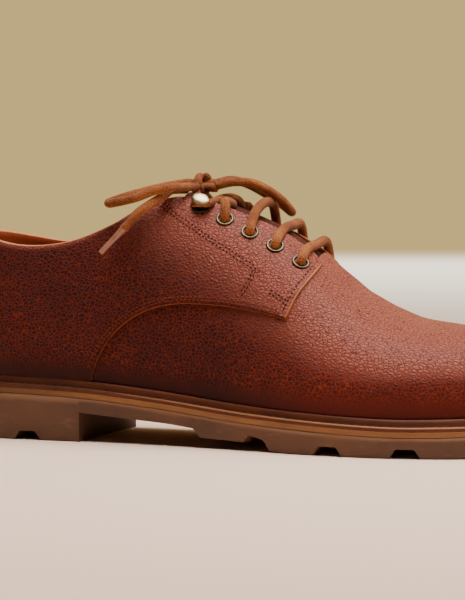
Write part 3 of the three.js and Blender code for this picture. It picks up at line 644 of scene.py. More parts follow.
# the turn of cord round the knot's middle, and the crossed strands under it
turns = np.linspace(-0.35 * np.pi, 2.05 * np.pi, 40)
wrap = KNOT + np.stack(
    [-1.6 + 0.5 * turns, 4.3 * np.sin(turns) * -1.0, 0.4 + 3.5 * np.cos(turns)], axis=1
)
knot_wrap = add_tube("lace_knot_wrap", smooth_path(wrap, 0.8), 3.9, lace)
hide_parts("lace_knot")
core = smooth_path(KNOT + np.array([(-7.2, -0.6, 1.0), (0, 0.8, 0.6), (7.2, 1.2, 1.0)]))
add_tube("lace_knot_core", core, 4.2, lace)
core = smooth_path(KNOT + np.array([(-2.2, -6.0, -1.6), (1.0, -1.0, -1.0), (7.4, -2.0, -1.1)]))
add_tube("lace_knot_under", core, 4.2, lace)


def add_aglet(name, route):
    """Sleeve in line with the cord's end, pinched at its mouth, with a blunt tip."""
    path = KNOT + np.array(route) * LACE_WIDTH
    way = path[-1] - path[-2]
    way = way / np.linalg.norm(way)
    steps = np.linspace(-1.5, AGLET_LENGTH + 0.3, 24)
    line = path[-1] + way * steps[:, None]
    widths = AGLET_WIDTH + (CORD_WIDTH - 0.1 - AGLET_WIDTH) * np.exp(-np.maximum(steps, 0) / 2.4)
    piece = add_tube(name + "_sleeve", line, AGLET_WIDTH, sleeve, widths=widths)
    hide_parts(name)
    return piece


aglet_outer = add_aglet("aglet_outer", OUTER_END)
aglet_inner = add_aglet("aglet_inner", INNER_END)
free_cord("lace_loop_outer", OUTER_LOOP)
free_cord("lace_loop_inner", INNER_LOOP)
free_cord("lace_end_outer", OUTER_END)
free_cord("lace_end_inner", INNER_END)


# The upper's leather: thick hide with a deep pebbled grain, dyed red-brown and waxed. The grain is
# flatter low down where the leather was pulled over the last. Cut edges show the bare tan hide.
def grain_group():
    """Pebbles are the inside of bent cells, creases their borders; finer cells lie over them."""
    group = bpy.data.node_groups.new("pebbled grain", "ShaderNodeTree")
    for name, kind, direction in [
        ("Vector", "NodeSocketVector", "INPUT"),
        ("Cell", "NodeSocketFloat", "INPUT"),
        ("Height", "NodeSocketFloat", "OUTPUT"),
        ("Crease", "NodeSocketFloat", "OUTPUT"),
    ]:
        group.interface.new_socket(name, in_out=direction, socket_type=kind)
    source = node(group, "NodeGroupInput")
    scale = math_node(group, "DIVIDE", 1.0, source.outputs["Cell"])
    bend_scale = math_node(group, "MULTIPLY", scale, 0.55)
    broad = {"Vector": source.outputs[0], "Scale": bend_scale, "Detail": 2.0}
    bend = node(group, "ShaderNodeTexNoise", broad)
    shift = node(
        group, "ShaderNodeVectorMath", {0: bend.outputs["Color"], 1: (0.5, 0.5, 0.5)}, operation="SUBTRACT"
    )
    reach = math_node(group, "MULTIPLY", source.outputs["Cell"], 0.9)
    shift = node(
        group, "ShaderNodeVectorMath", {0: shift.outputs[0], "Scale": reach}, operation="SCALE"
    )
    place = node(group, "ShaderNodeVectorMath", {0: source.outputs[0], 1: shift.outputs[0]})
    cells = node(
        group,
        "ShaderNodeTexVoronoi",
        {"Vector": place.outputs[0], "Scale": scale},
        feature="DISTANCE_TO_EDGE",
    )
    fine_scale = math_node(group, "MULTIPLY", scale, 2.3)
    fine = node(
        group,
        "ShaderNodeTexVoronoi",
        {"Vector": place.outputs[0], "Scale": fine_scale},
        feature="DISTANCE_TO_EDGE",
    )
    pebble = step_range(group, cells.outputs[0], -0.1, 0.42)
    small = step_range(group, fine.outputs[0], -0.1, 0.4)
    height = math_node(group, "MULTIPLY_ADD", small, 0.3, pebble)
    crease = step_range(group, cells.outputs[0], 0.11, 0.0)
    result = node(group, "NodeGroupOutput")
    group.links.new(height, result.inputs["Height"])
    group.links.new(crease, result.inputs["Crease"])
    return group


def add_group(tree, group, values):
    made = node(tree, "ShaderNodeGroup", node_tree=group)
    for key, value in values.items():
        if isinstance(value, bpy.types.NodeSocket):
            tree.links.new(value, made.inputs[key])
        else:
            made.inputs[key].default_value = value
    return made


pebbled_grain = grain_group()


def hide_material(name, tones, cell, depth, roughness, coat):
    """Dyed grained hide: darker low down and in cloudy patches, with a painted highlight where it
    faces upwards, of one tone of wear in the creases of the sides and a painted shade in those of the
    top, and bare tan wherever the piece's cut attribute is set, there too with a painted highlight
    where it faces upwards. The tones are two for the sides, one for their creases, a painted highlight
    for the top, a painted shade for its creases, and the redder one of the toe's sides. The inside
    shows the smooth lining."""
    light, dark, seam_tone, top_painted_highlight, top_crease_painted_shade, fore_tone = [colour(*tone) for tone in tones]
    material, tree, shader = new_material(name)
    place = node(tree, "ShaderNodeTexCoord").outputs["Object"]
    stretch = node(tree, "ShaderNodeMapping", {0: place, 3: (0.84, 1.0, 1.0)}).outputs[0]
    grain = add_group(tree, pebbled_grain, {"Vector": stretch, "Cell": cell * MM})
    cloud = node(tree, "ShaderNodeTexNoise", {"Vector": place, "Scale": 28.0, "Detail": 4.0}).outputs[0]
    speck = node(tree, "ShaderNodeTexNoise", {"Vector": place, "Scale": 420.0, "Detail": 3.0}).outputs[0]
    rise = node(tree, "ShaderNodeAttribute", attribute_name="rise").outputs["Fac"]
    open_grain = step_range(tree, rise, 5.0, 17.0)
    along = node(tree, "ShaderNodeSeparateXYZ", {0: place}).outputs[0]
    fore = step_range(tree, along, -0.01, 0.06)
    low = step_range(tree, rise, 30.0, 4.0)
    # darker low down towards the rear: partly a darker band of leather by the welt, partly painted shade
    rear_low = math_node(tree, "MULTIPLY", low, math_node(tree, "SUBTRACT", 1.0, fore))
    tone = math_node(tree, "MULTIPLY_ADD", step_range(tree, cloud, 0.3, 0.72), -0.4, 0.2)
    tone = math_node(tree, "MULTIPLY_ADD", rear_low, 0.35, tone)
    tone = math_node(tree, "MULTIPLY_ADD", grain.outputs["Height"], 0.35, tone)
    tone = math_node(tree, "MINIMUM", math_node(tree, "MAXIMUM", tone, 0.0), 1.0)
    base = mix_colour(tree, tone, light, dark)
    base = mix_colour(tree, math_node(tree, "MULTIPLY", fore, 0.4), base, fore_tone)
    # painted highlight: leather that faces upwards is mixed towards the top tone
    upward = node(tree, "ShaderNodeAttribute", attribute_name="upward").outputs["Fac"]
    lit = step_range(tree, upward, 0.1, 0.56)
    base = mix_colour(tree, math_node(tree, "MULTIPLY", lit, 0.85), base, top_painted_highlight)
    seam_tone = mix_colour(tree, math_node(tree, "MULTIPLY", fore, 0.6), seam_tone, colour(148, 62, 36))
    # painted shade in the creases of the upward faces
    seam_tone = mix_colour(tree, lit, seam_tone, top_crease_painted_shade)
    second_tone_share = math_node(tree, "MULTIPLY", grain.outputs["Crease"], open_grain)
    patchy = math_node(tree, "MAXIMUM", step_range(tree, cloud, 0.25, 0.7, 0.5, 0.95), lit)
    base = mix_colour(tree, math_node(tree, "MULTIPLY", second_tone_share, patchy), base, seam_tone)
    cut = node(tree, "ShaderNodeAttribute", attribute_name="cut").outputs["Fac"]
    bare = mix_colour(tree, speck, colour(92, 44, 22), colour(146, 82, 46))
    # painted highlight on bare edges that face upwards
    bare = mix_colour(tree, math_node(tree, "MULTIPLY", lit, 0.6), bare, colour(208, 132, 86))
    bare_share = step_range(tree, cut, 0.25, 0.7)
    inside = node(tree, "ShaderNodeAttribute", attribute_name="inside").outputs["Fac"]
    lined = mix_colour(tree, speck, colour(120, 44, 18), colour(150, 62, 28))
    base = mix_colour(tree, inside, base, lined)
    tree.links.new(mix_colour(tree, bare_share, base, bare), shader.inputs["Base Color"])
    smooth_share = math_node(tree, "MAXIMUM", bare_share, inside)
    rough_share = math_node(tree, "SUBTRACT", 1.0, smooth_share)
    relief = math_node(tree, "MULTIPLY", grain.outputs["Height"], rough_share)
    relief = math_node(tree, "MULTIPLY", relief, math_node(tree, "MULTIPLY_ADD", open_grain, 0.85, 0.15))
    relief = math_node(tree, "MULTIPLY_ADD", speck, 0.15, relief)
    bump = node(tree, "ShaderNodeBump", {"Height": relief, "Strength": 1.0, "Distance": depth * MM})
    tree.links.new(bump.outputs[0], shader.inputs["Normal"])
    gloss = math_node(tree, "MULTIPLY_ADD", grain.outputs["Crease"], 0.25, roughness)
    gloss = math_node(tree, "MULTIPLY_ADD", cloud, 0.12, gloss)
    tree.links.new(gloss, shader.inputs["Roughness"])
    shader.inputs["Specular IOR Level"].default_value = 0.13
    shader.inputs["Coat Weight"].default_value = coat
    shader.inputs["Coat Roughness"].default_value = 0.3
    return material


# tones: sides light and dark, side creases, painted highlight of the top, painted shade in its creases, the
# toe's sides
HIDE_TONES = [(62, 9, 5), (34, 5, 3), (122, 46, 27), (152, 80, 62), (80, 28, 19), (108, 29, 13)]
hide = hide_material("grained hide", HIDE_TONES, 1.6, 0.42, 0.42, 0.04)


def slab(outer, inner, bulge):
    """Closed sheet between two grids of points. Past each border three rows follow a quarter turn
    from the outer or inner face to the middle: the half thickness shrinks with the cosine, and the
    bulge grows with the sine along the way out of the sheet. Returns points, faces and a mark
    that is 1 on the turned rows."""
    rows, columns = outer.shape[:2]
    middle = (outer + inner) / 2
    pad = 3
    i = np.clip(np.arange(-pad, rows + pad), 0, rows - 1)
    j = np.clip(np.arange(-pad, columns + pad), 0, columns - 1)
    past_i = np.abs(np.arange(-pad, rows + pad) - i) / pad
    past_j = np.abs(np.arange(-pad, columns + pad) - j) / pad

    def way(grid, axis):
        out = np.gradient(grid, axis=axis)
        length = np.linalg.norm(out, axis=-1, keepdims=True)
        return out / np.maximum(length, 1e-9)

    sign_i = np.sign(np.arange(-pad, rows + pad) - i)[:, None, None]
    sign_j = np.sign(np.arange(-pad, columns + pad) - j)[None, :, None]
    out = (
        way(middle, 0)[i][:, j] * sign_i * np.sin(past_i * np.pi / 2)[:, None, None]
        + way(middle, 1)[i][:, j] * sign_j * np.sin(past_j * np.pi / 2)[None, :, None]
    )
    shrink = (np.cos(past_i * np.pi / 2)[:, None] * np.cos(past_j * np.pi / 2)[None, :])[..., None]
    points = [
        middle[i][:, j] + (face[i][:, j] - middle[i][:, j]) * shrink + out * bulge
        for face in (outer, inner)
    ]
    mark = np.maximum(past_i[:, None], past_j[None, :])
    faces, _, _ = grid_faces(rows + 2 * pad, columns + 2 * pad)
    count = (rows + 2 * pad) * (columns + 2 * pad)
    both = np.vstack([faces, faces[:, ::-1] + count])
    values = np.concatenate([mark.reshape(-1), mark.reshape(-1)])
    return np.vstack([p.reshape(-1, 3) for p in points]), both, np.minimum(values * 3, 1)


def mark_points(mesh, marks):
    """Sets point attributes from arrays of one number a vertex."""
    for name, values in marks.items():
        layer = mesh.attributes.new(name, "FLOAT", "POINT")
        layer.data.foreach_set("value", np.asarray(values, np.float32))


def add_slab(name, outer, inner, bulge, material, bare=None):
    """Leather sheet with its marks: cut edge, height over the welt, and how far it faces up, which
    sets the hide's painted highlight. bare gives a further mark of cut edge for given points."""
    points, faces, cut = slab(outer, inner, bulge)
    if bare is not None:
        cut = np.maximum(cut, bare(points))
    mesh = new_mesh(name, points, faces)
    rise = points[:, 2] - welt_top(points[:, 0] / SOLE_LENGTH)
    inside = np.repeat([0.0, 1.0], len(points) // 2)
    mark_points(mesh, {"cut": cut, "rise": rise, "inside": inside})
    piece = finish_piece(name, mesh, material)
    normals = np.zeros(len(mesh.vertices) * 3)
    mesh.vertices.foreach_get("normal", normals)
    mark_points(mesh, {"upward": normals[2::3]})
    return piece


# The vamp: the front of the upper in one piece, from wing tips under the quarters to the toe. It
# ends behind in a short straight edge across the front of the throat.
# its rear border: share up the section, millimetres along
VAMP_BORDER = np.array(
    [[0.0, 64.0], [0.3, 66.0], [0.42, 78.0], [0.5, 104.0], [0.62, 140.0], [0.7, 165.0]]
    + [[0.76, THROAT_END + 0.6], [1.0, THROAT_END]]
)


def vamp_grid(grow, rows=110, columns=150):
    """Rows cross the shoe from foot over ridge to foot; each column runs from the rear border to
    the toe. The rear border jumps forward to the throat's end over the rows between the facings."""
    across = np.linspace(-1, 1, rows)[:, None]
    across = 0.8 * across + 0.2 * across**3
    side = np.where(across < 0, -1.0, 1.0)
    a = 1 - np.abs(across)
    rear = share_at(np.interp(a, VAMP_BORDER[:, 0], VAMP_BORDER[:, 1]), 0.0)
    along = np.linspace(0, 1, columns)[None, :]
    toe_ease = np.sin(along * np.pi / 2)
    t = rear + (1 - rear) * (0.45 * along + 0.55 * toe_ease)
    return form(t, side, a * np.ones_like(t), grow)


def crease(points, outward, centre, reach, lean, depth):
    """Soft trough across the leather: a cosine bell of the distance from a leaning line, fading
    with the distance from its middle."""
    off = points - np.array(centre)
    along = off[..., 0] - lean * off[..., 1]
    fade = np.exp(-((off[..., 1] / reach[1]) ** 2) - (off[..., 2] / reach[2]) ** 2)
    bell = np.exp(-((along / reach[0]) ** 2))
    return points - outward * (depth * bell * fade)[..., None]


def grid_normals(points):
    """Unit normals of a grid of points."""
    normal = np.cross(np.gradient(points, axis=1), np.gradient(points, axis=0))
    return normal / np.maximum(np.linalg.norm(normal, axis=-1, keepdims=True), 1e-9)


vamp_outer = vamp_grid(0.0)
away = grid_normals(vamp_outer)
away *= np.sign(away[..., 2:3].mean() or 1.0)
VAMP_CREASES = [
    ((196.0, 2.0, 70.0), (5.0, 26.0, 30.0), 0.12, 0.9),
    ((207.0, 4.0, 62.0), (6.0, 34.0, 30.0), -0.06, 0.55),
    ((221.0, 8.0, 55.0), (7.0, 40.0, 30.0), 0.05, 0.35),
]
for centre, reach, lean, depth in VAMP_CREASES:
    vamp_outer = crease(vamp_outer, away, centre, reach, lean, depth)
vamp = add_slab("vamp", vamp_outer, vamp_grid(-WALL + 0.25), 0.4, hide)
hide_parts("upper")

# The quarters: both sides and the back of the upper. They stand on the vamp with a cut edge, and
# meet at the heel. Their facings carry the eyelets.
SEAM_START = 74.4
# the collar's line: share of the length, share of the back's height over the welt
TOPLINE = np.array(
    [
        [-0.05, 1.02],
        [0.03, 0.985],
        [0.09, 0.92],
        [0.13, 0.885],
        [0.17, 0.883],
        [0.22, 0.92],
        [0.28, 1.02],
        [0.32, 1.12],
        [0.35, 1.178],
        [0.372, 1.2],
    ]
)
SEAM_CURVES = [
    [(0.2465, -0.04), (0.265, 0.355), (0.33, 0.535), (0.41, 0.539)],
    [(0.41, 0.539), (0.48, 0.542), (0.53, 0.5), (0.5705, 0.458)],
]
FRONT_EDGE = np.array([[0.458, 0.5705], [0.6, 0.582], [0.76, 0.598], [0.9, 0.6005]])


def seam_line(count=200):
    """The quarters' lower seam from the side: two cubic curves, in millimetres."""
    u = np.linspace(0, 1, count)[:, None]
    parts = [
        (1 - u) ** 3 * np.array(a)
        + 3 * u * (1 - u) ** 2 * np.array(b)
        + 3 * u**2 * (1 - u) * np.array(c)
        + u**3 * np.array(d)
        for a, b, c, d in SEAM_CURVES
    ]
    line = np.vstack(parts)
    return line[:, 0] * SOLE_LENGTH, HEEL_HEIGHT + line[:, 1] * BACK_HEIGHT


seam_x, seam_z = seam_line()
FRONT_LOW = 0.5705 * SOLE_LENGTH
CORNER_X = THROAT_END - 0.6 * FACING_CORNER


def facing_edge(x):
    """Half the throat's width, with the facing's front corner rounded off."""
    past = np.clip((x - CORNER_X) / (1.15 * FACING_CORNER), 0, 1)
    return throat_half(x) + FACING_CORNER * (1 - np.sqrt(np.maximum(1 - past**2, 0)))


def quarter_grid(grow, rows=44, columns=190):
    """Each column climbs from the foot, or the lower seam, to the collar or the facing's edge.
    Near the front the columns lean until the last one lies on the front edge."""
    v = np.linspace(0, 1, rows)[:, None]
    s = np.linspace(0, 1, columns)[None, :]
    s = 0.55 * s + 0.45 * s**2 * (3 - 2 * s)
    last = share_at(FRONT_LOW, grow)
    base = s * last
    front_a = np.linspace(0, 1, rows)[:, None]
    front_z = HEEL_HEIGHT + BACK_HEIGHT * (0.458 + (0.86 - 0.458) * front_a)
    front_x = SOLE_LENGTH * through(FRONT_EDGE, 1, (front_z - HEEL_HEIGHT) / BACK_HEIGHT)
    lean = np.clip((s - 0.72) / 0.28, 0, 1) ** 2
    grids = []
    for side in (-1.0, 1.0):
        edge_x = front_x
        for _ in range(5):
            t = np.clip(base + lean * (share_at(edge_x, grow) - last), 0, 1)
            x = WELT_WIDTH - grow + t * (SOLE_LENGTH - 2 * (WELT_WIDTH - grow))
            low_x, high_x = x[0], x[-1]
            seam_height = np.interp(low_x, seam_x, seam_z)
            low_girth = girth_at_height(t[0], np.full(columns, side), seam_height, grow)
            low_girth = np.where(low_x < SEAM_START, 0.0, low_girth)
            collar_x = form(t[-1], side, 0.85, grow)[:, 0]
            collar_z = HEEL_HEIGHT + BACK_HEIGHT * through(TOPLINE, 1, collar_x / SOLE_LENGTH)
            at_collar = girth_at_height(t[-1], np.full(columns, side), collar_z, grow)
            edge_y = throat_middle(high_x) + side * facing_edge(high_x)
            at_throat = girth_at_width(t[-1], np.full(columns, side), edge_y, grow)
            blend = np.clip((high_x - 117.5) / 3.0, 0, 1)
            high_girth = np.minimum(at_collar, 1.0) * (1 - blend) + at_throat * blend
            a = low_girth + (high_girth - low_girth) * v
            grid = form(t, side, a, grow)
            heights = (grid[:, -1:, 2] - HEEL_HEIGHT) / BACK_HEIGHT
            edge_x = SOLE_LENGTH * through(FRONT_EDGE, 1, heights)
        grids.append(grid)
    return np.concatenate([grids[0][:, ::-1], grids[1][:, 1:]], axis=1)


def front_band(points):
    """1 along the quarters' front edge, fading out within a millimetre."""
    edge_x = SOLE_LENGTH * through(FRONT_EDGE, 1, (points[:, 2] - HEEL_HEIGHT) / BACK_HEIGHT)
    inside = edge_x - points[:, 0]
    return np.clip(1 - (inside - 0.35) / 0.4, 0, 1) * (points[:, 2] < 83.0)


quarters = add_slab(
    "quarters", quarter_grid(STEP), quarter_grid(-WALL), 0.5, hide, front_band
)
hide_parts("upper")

# The tongue: a padded leather tab sewn under the vamp's edge, with rounded top corners.
TONGUE_THICKNESS = 2.6
TONGUE_TOP = 113.0
TONGUE_HALF_TOP = 24.0


def tongue_grid(grow, rows=50, columns=60):
    """Strips across the shoe; the half width narrows to the front, and closes with a rounded
    corner over the last strips at the top."""
    x = np.linspace(TONGUE_TOP + 1, THROAT_END + 5.5, columns)[None, :]
    share = (x - TONGUE_TOP) / (THROAT_END + 6 - TONGUE_TOP)
    half = TONGUE_HALF_TOP + (THROAT_HALF_END + 3 - TONGUE_HALF_TOP) * share
    corner = np.clip((TONGUE_TOP + 9 - x) / 9, 0, 1)
    half = half - 11 * (1 - np.sqrt(1 - corner**2 * 0.98))
    y = throat_middle(x) + half * np.linspace(-1, 1, rows)[:, None]
    return lay_on(x * np.ones_like(y), y, grow)


tongue_gap = WALL + 0.35
# The tongue's tones are darker all over: painted shade in the throat, under the facings.
TONGUE_SHADED_TONES = [(60, 16, 9), (34, 8, 5), (84, 32, 20), (70, 24, 14), (46, 14, 8), (60, 16, 9)]
shaded_tongue_hide = hide_material("tongue leather, painted shade", TONGUE_SHADED_TONES, 1.1, 0.1, 0.5, 0.0)
tongue = add_slab(
    "tongue_tab",
    tongue_grid(-tongue_gap),
    tongue_grid(-tongue_gap - TONGUE_THICKNESS + 0.3),
    0.9,
    shaded_tongue_hide,
)
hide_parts("tongue")


# The sole's layers: storm welt, leather midsole and moulded rubber, all trimmed to one outline.
WELT_THICKNESS = 1.9
MIDSOLE_THICKNESS = 2.2
SEAM_GAP = 0.3
BEAD_HEIGHT = 3.2


def swept_ring(profile):
    """Ring round the outline from a closed profile of inset and height over the welt's top."""
    rings = []
    for inset, height in profile:
        x, y = edge(rim_t, rim_side, inset)
        rings.append(np.stack([x, y, welt_top(rim_t) + height], axis=-1))
    rings = np.stack(rings + rings[:1], axis=0)
    rings = np.concatenate([rings, rings[:, :1]], axis=1)
    return rings


def leather_edge_material(name, light, dark, pitch):
    """Stacked and burnished leather: fine strata along the edge, with stains. The tone attribute
    marks painted light: painted shade in the hollows at 0, the burnished face at 0.5 and a painted highlight
    on the outer corner at 1."""
    material, tree, shader = new_material(name)
    place = node(tree, "ShaderNodeTexCoord").outputs["Object"]
    stretch = node(tree, "ShaderNodeMapping", {0: place, 3: (220.0, 220.0, 1000.0 / pitch)})
    fine = {"Vector": stretch.outputs[0], "Scale": 1.0, "Detail": 3.0}
    strata = node(tree, "ShaderNodeTexNoise", fine).outputs[0]
    stain = node(tree, "ShaderNodeTexNoise", {"Vector": place, "Scale": 60.0, "Detail": 4.0}).outputs[0]
    tone = math_node(tree, "MULTIPLY_ADD", strata, 0.45, math_node(tree, "MULTIPLY_ADD", stain, 0.7, -0.1))
    base = mix_colour(tree, step_range(tree, tone, 0.0, 1.0), dark, light)
    mark = node(tree, "ShaderNodeAttribute", attribute_name="tone").outputs["Fac"]
    # painted shade below a tone of 0.5
    base = mix_colour(tree, step_range(tree, mark, 0.5, 0.05, 0.0, 0.9), base, colour(34, 13, 7))
    # painted highlight above a tone of 0.55
    pale = step_range(tree, mark, 0.55, 0.95, 0.0, 0.7)
    base = mix_colour(tree, pale, base, colour(166, 108, 68))
    tree.links.new(base, shader.inputs["Base Color"])
    fibre = node(tree, "ShaderNodeTexNoise", {"Vector": place, "Scale": 900.0, "Detail": 3.0}).outputs[0]
    relief = math_node(tree, "MULTIPLY_ADD", strata, 0.4, fibre)
    bump = node(tree, "ShaderNodeBump", {"Height": relief, "Strength": 0.4, "Distance": 0.0003})
    tree.links.new(bump.outputs[0], shader.inputs["Normal"])
    shader.inputs["Roughness"].default_value = 0.5
    shader.inputs["Specular IOR Level"].default_value = 0.2
    shader.inputs["Coat Weight"].default_value = 0.05
    shader.inputs["Coat Roughness"].default_value = 0.4
    return material


welt_leather = leather_edge_material("welt leather", colour(101, 50, 22), colour(68, 30, 13), 0.9)
edge_leather = leather_edge_material("midsole edge", colour(152, 104, 64), colour(124, 80, 47), 0.5)
bead_turn = np.linspace(0.12 * np.pi, 0.92 * np.pi, 9)
bead_profile = [
    (3.9 - 1.15 * math.cos(turn), 0.4 + (BEAD_HEIGHT - 0.5) * math.sin(turn)) for turn in bead_turn
]
# inset, height over the welt's top, tone of painted light: 0 shade at the upper and in the groove, 1
# highlight on the outer corner
WELT_PROFILE = [
    (0.0, -WELT_THICKNESS, 0.5),
    (0.0, -0.75, 0.5),
    (0.06, -0.5, 0.9),
    (0.3, -0.12, 1.0),
    (0.62, 0.0, 1.0),
    (0.95, 0.02, 0.5),
    (1.2, -0.2, 0.3),
    (1.6, -0.5, 0.1),
    (2.3, -0.5, 0.1),
    (2.7, -0.2, 0.2),
    *[(inset, height, 0.5 - 0.4 * abs(n / 8 - 0.35) ** 2) for n, (inset, height) in enumerate(bead_profile)],
    (WELT_WIDTH - 0.35, -0.2, 0.0),
    (WELT_WIDTH - 0.35, -WELT_THICKNESS, 0.0),
]
ring = swept_ring([row[:2] for row in WELT_PROFILE])
faces, _, _ = grid_faces(*ring.shape[:2])
welt_mesh = new_mesh("welt_strip", ring.reshape(-1, 3), faces)
tones = np.array([row[2] for row in WELT_PROFILE + WELT_PROFILE[:1]])[:, None] * np.ones(ring.shape[1])
# the lighter rows darken towards the heel: painted shade
painted_light = np.interp(ring[..., 0], [0.0, 60.0, 100.0, 180.0], [0.32, 0.36, 0.75, 1.0])
mark_points(welt_mesh, {"tone": np.minimum(tones, np.where(tones > 0.45, painted_light, 1.0)).reshape(-1)})
welt = finish_piece("welt_strip", welt_mesh, welt_leather)
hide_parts("welt")


def layer_mesh(name, inset, low, high, round_edge, material):
    """Solid plate between two heights under the welt: strips across the shoe, with its edge
    turned over a small radius."""
    t = (1 - np.cos(np.linspace(0, np.pi, 260))) / 2
    share = np.concatenate([[-1.0], np.linspace(-1, 1, 26), [1.0]])[:, None]
    tuck = np.zeros((28, 1))
    tuck[0] = tuck[-1] = round_edge
    grids = []
    for height, bend in ((high, -1), (low, 1)):
        outer_x, outer_y = edge(t, -1.0, inset)
        inner_x, inner_y = edge(t, 1.0, inset)
        y = (outer_y + inner_y) / 2 + share * (inner_y - outer_y) / 2
        z = welt_top(t) + height + bend * tuck
        grids.append(np.stack(np.broadcast_arrays(outer_x, y, z), axis=-1))
    points = np.concatenate([grids[0], grids[1][::-1], grids[0][:1]], axis=0)
    faces, _, _ = grid_faces(*points.shape[:2])
    mesh = new_mesh(name, points.reshape(-1, 3), faces)
    # the midsole's edge: painted shade, deepest towards the heel
    tone = np.interp(points[..., 0], [0.0, 48.0, 87.0, 160.0, 302.0], [0.24, 0.28, 0.46, 0.42, 0.42])
    mark_points(mesh, {"tone": tone.reshape(-1)})
    return finish_piece(name, mesh, material)


midsole_high = -WELT_THICKNESS - SEAM_GAP + 0.15
midsole_low = -WELT_THICKNESS - SEAM_GAP - MIDSOLE_THICKNESS
midsole = layer_mesh("midsole_layer", 0.0, midsole_low, midsole_high, 0.25, edge_leather)
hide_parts("midsole")

# The insole: smooth leather that lines the floor of the shoe.
LINING_TONES = [(122, 56, 30), (76, 30, 16), (82, 36, 20), (122, 56, 30), (82, 36, 20), (122, 56, 30)]
lining = hide_material("lining", LINING_TONES, 0.8, 0.04, 0.55, 0.0)
insole = layer_mesh(
    "insole_board",
    WELT_WIDTH + WALL + 0.5,
    -WELT_THICKNESS,
    -WELT_THICKNESS + 2.4,
    0.3,
    lining,
)
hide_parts("insole")

# The outsole: one rubber moulding. Side lugs are parted by wedge-shaped notches, a channel runs
# inside them, and bars cross the pad in the middle. The heel ends in an upright breast.
HEEL_BREAST = 71.0
LUG_DEPTH = 4.1
LUG_PITCH = 35.0
FIRST_NOTCH = 160.5
NOTCH_WIDTH = 13.5
NOTCH_FLOOR = 8.0
NOTCH_REACH = 15.0
CHANNEL_INSET = 18.0
CHANNEL_WIDTH = 4.5
ARCH = np.array(
    [
        [71.02, 13.46],
        [101.2, 11.22],
        [114.8, 10.3],
        [128.4, 8.84],
        [132.3, 4.7],
        [153.1, 3.96],
        [166.1, 0.92],
        [176.7, 0.0],
        [302.0, 0.0],
    ]
)


def sole_underside(x, y, t, from_edge):
    """Height of the underside: the arch and the toe spring, raised in the notches, the channel
    and the bars. Each cut is a trapezoid: the distance inside its border over its wall's run."""
    spring = TOE_SPRING * through(ROCKER, 2, t)
    base = np.where(x < HEEL_BREAST, 0.0, np.interp(x, ARCH[:, 0], ARCH[:, 1])) + spring
    depth = np.zeros_like(base)
    places = [FIRST_NOTCH + n * LUG_PITCH for n in range(4)] + [HEEL_BREAST - 26.5, HEEL_BREAST - 58]
    for centre in places:
        for side in (-1.0, 1.0):
            share = centre / SOLE_LENGTH
            here = np.array(edge(share, side, 0.0))
            ahead = np.array(edge(share + 0.01, side, 0.0)) - np.array(edge(share - 0.01, side, 0.0))
            ahead /= np.hypot(*ahead)
            inward = np.array([ahead[1], -ahead[0]]) * side
            along = (x - here[0]) * ahead[0] + (y - here[1]) * ahead[1]
            into = (x - here[0]) * inward[0] + (y - here[1]) * inward[1]
            wall = np.clip((NOTCH_WIDTH / 2 - np.abs(along)) / (NOTCH_WIDTH / 2 - NOTCH_FLOOR / 2), 0, 1)
            end = np.clip((NOTCH_REACH - into) / 1.2, 0, 1)
            depth = np.maximum(depth, LUG_DEPTH * wall * end)
    ring = np.clip((CHANNEL_WIDTH / 2 - np.abs(from_edge - CHANNEL_INSET - CHANNEL_WIDTH / 2)) / 0.9, 0, 1)
    fore = np.clip((x - 169) / 1.0, 0, 1) * np.clip((285 - x) / 1.0, 0, 1)
    heel = np.clip((x - 14) / 1.0, 0, 1) * np.clip((58 - x) / 1.0, 0, 1)
    depth = np.maximum(depth, 0.8 * LUG_DEPTH * ring * np.maximum(fore, heel))
    inside = np.clip((from_edge - CHANNEL_INSET - 1) / 0.8, 0, 1)
    for n in range(3):
        bar = FIRST_NOTCH + (n + 0.5) * LUG_PITCH
        depth = np.maximum(depth, 0.8 * LUG_DEPTH * np.clip((2.75 - np.abs(x - bar)) / 0.8, 0, 1) * inside)
    return base + depth


def outsole_points():
    """Rings across the shoe: underside from edge to edge, then up the side and over the top."""
    t = np.concatenate(
        [
            (1 - np.cos(np.linspace(0, np.pi, 560))) / 2,
            [(HEEL_BREAST - 0.02) / SOLE_LENGTH, (HEEL_BREAST + 0.02) / SOLE_LENGTH],
        ]
    )
    t = np.sort(t)[None, :]
    even = np.linspace(-1, 1, 91)[:, None]
    share = np.sin(even * np.pi / 2) * 0.35 + even * 0.65
    x, outer = edge(t, -1.0, 0.0)
    _, inner = edge(t, 1.0, 0.0)
    y = (outer + inner) / 2 + share * (inner - outer) / 2
    x = x * np.ones_like(y)
    from_edge = np.minimum(y - outer, inner - y)
    from_edge = np.minimum(from_edge, np.minimum(x, SOLE_LENGTH - x))
    z = sole_underside(x, y, t * np.ones_like(y), from_edge)
    top = welt_top(t) - WELT_THICKNESS - MIDSOLE_THICKNESS - 2 * SEAM_GAP + 0.2
    bottom = np.stack([x, y, z], axis=-1)
    bevel = 0.5
    walls = []
    for row, line in ((-1, inner), (0, outer)):
        low = z[row] + bevel
        high = (top - bevel * 0.6)[0]
        levels = np.linspace(0, 1, 6)[:, None] if row == -1 else np.linspace(1, 0, 6)[:, None]
        wall_z = low + (high - low) * levels
        walls.append(np.stack(np.broadcast_arrays(x[0], line, wall_z), axis=-1))
    cap_share = np.linspace(0.985, -0.985, 12)[:, None]
    cap = np.stack(
        np.broadcast_arrays(x[:1], (outer + inner) / 2 + cap_share * (inner - outer) / 2, top), axis=-1
    )
    pulled = bottom.copy()
    pulled[0, :, 1] = bottom[0, :, 1] + 0.35 * plan_ends(t[0])
    pulled[-1, :, 1] = bottom[-1, :, 1] - 0.35 * plan_ends(t[0])
    return np.concatenate([pulled, walls[0], cap, walls[1], pulled[:1]], axis=0)


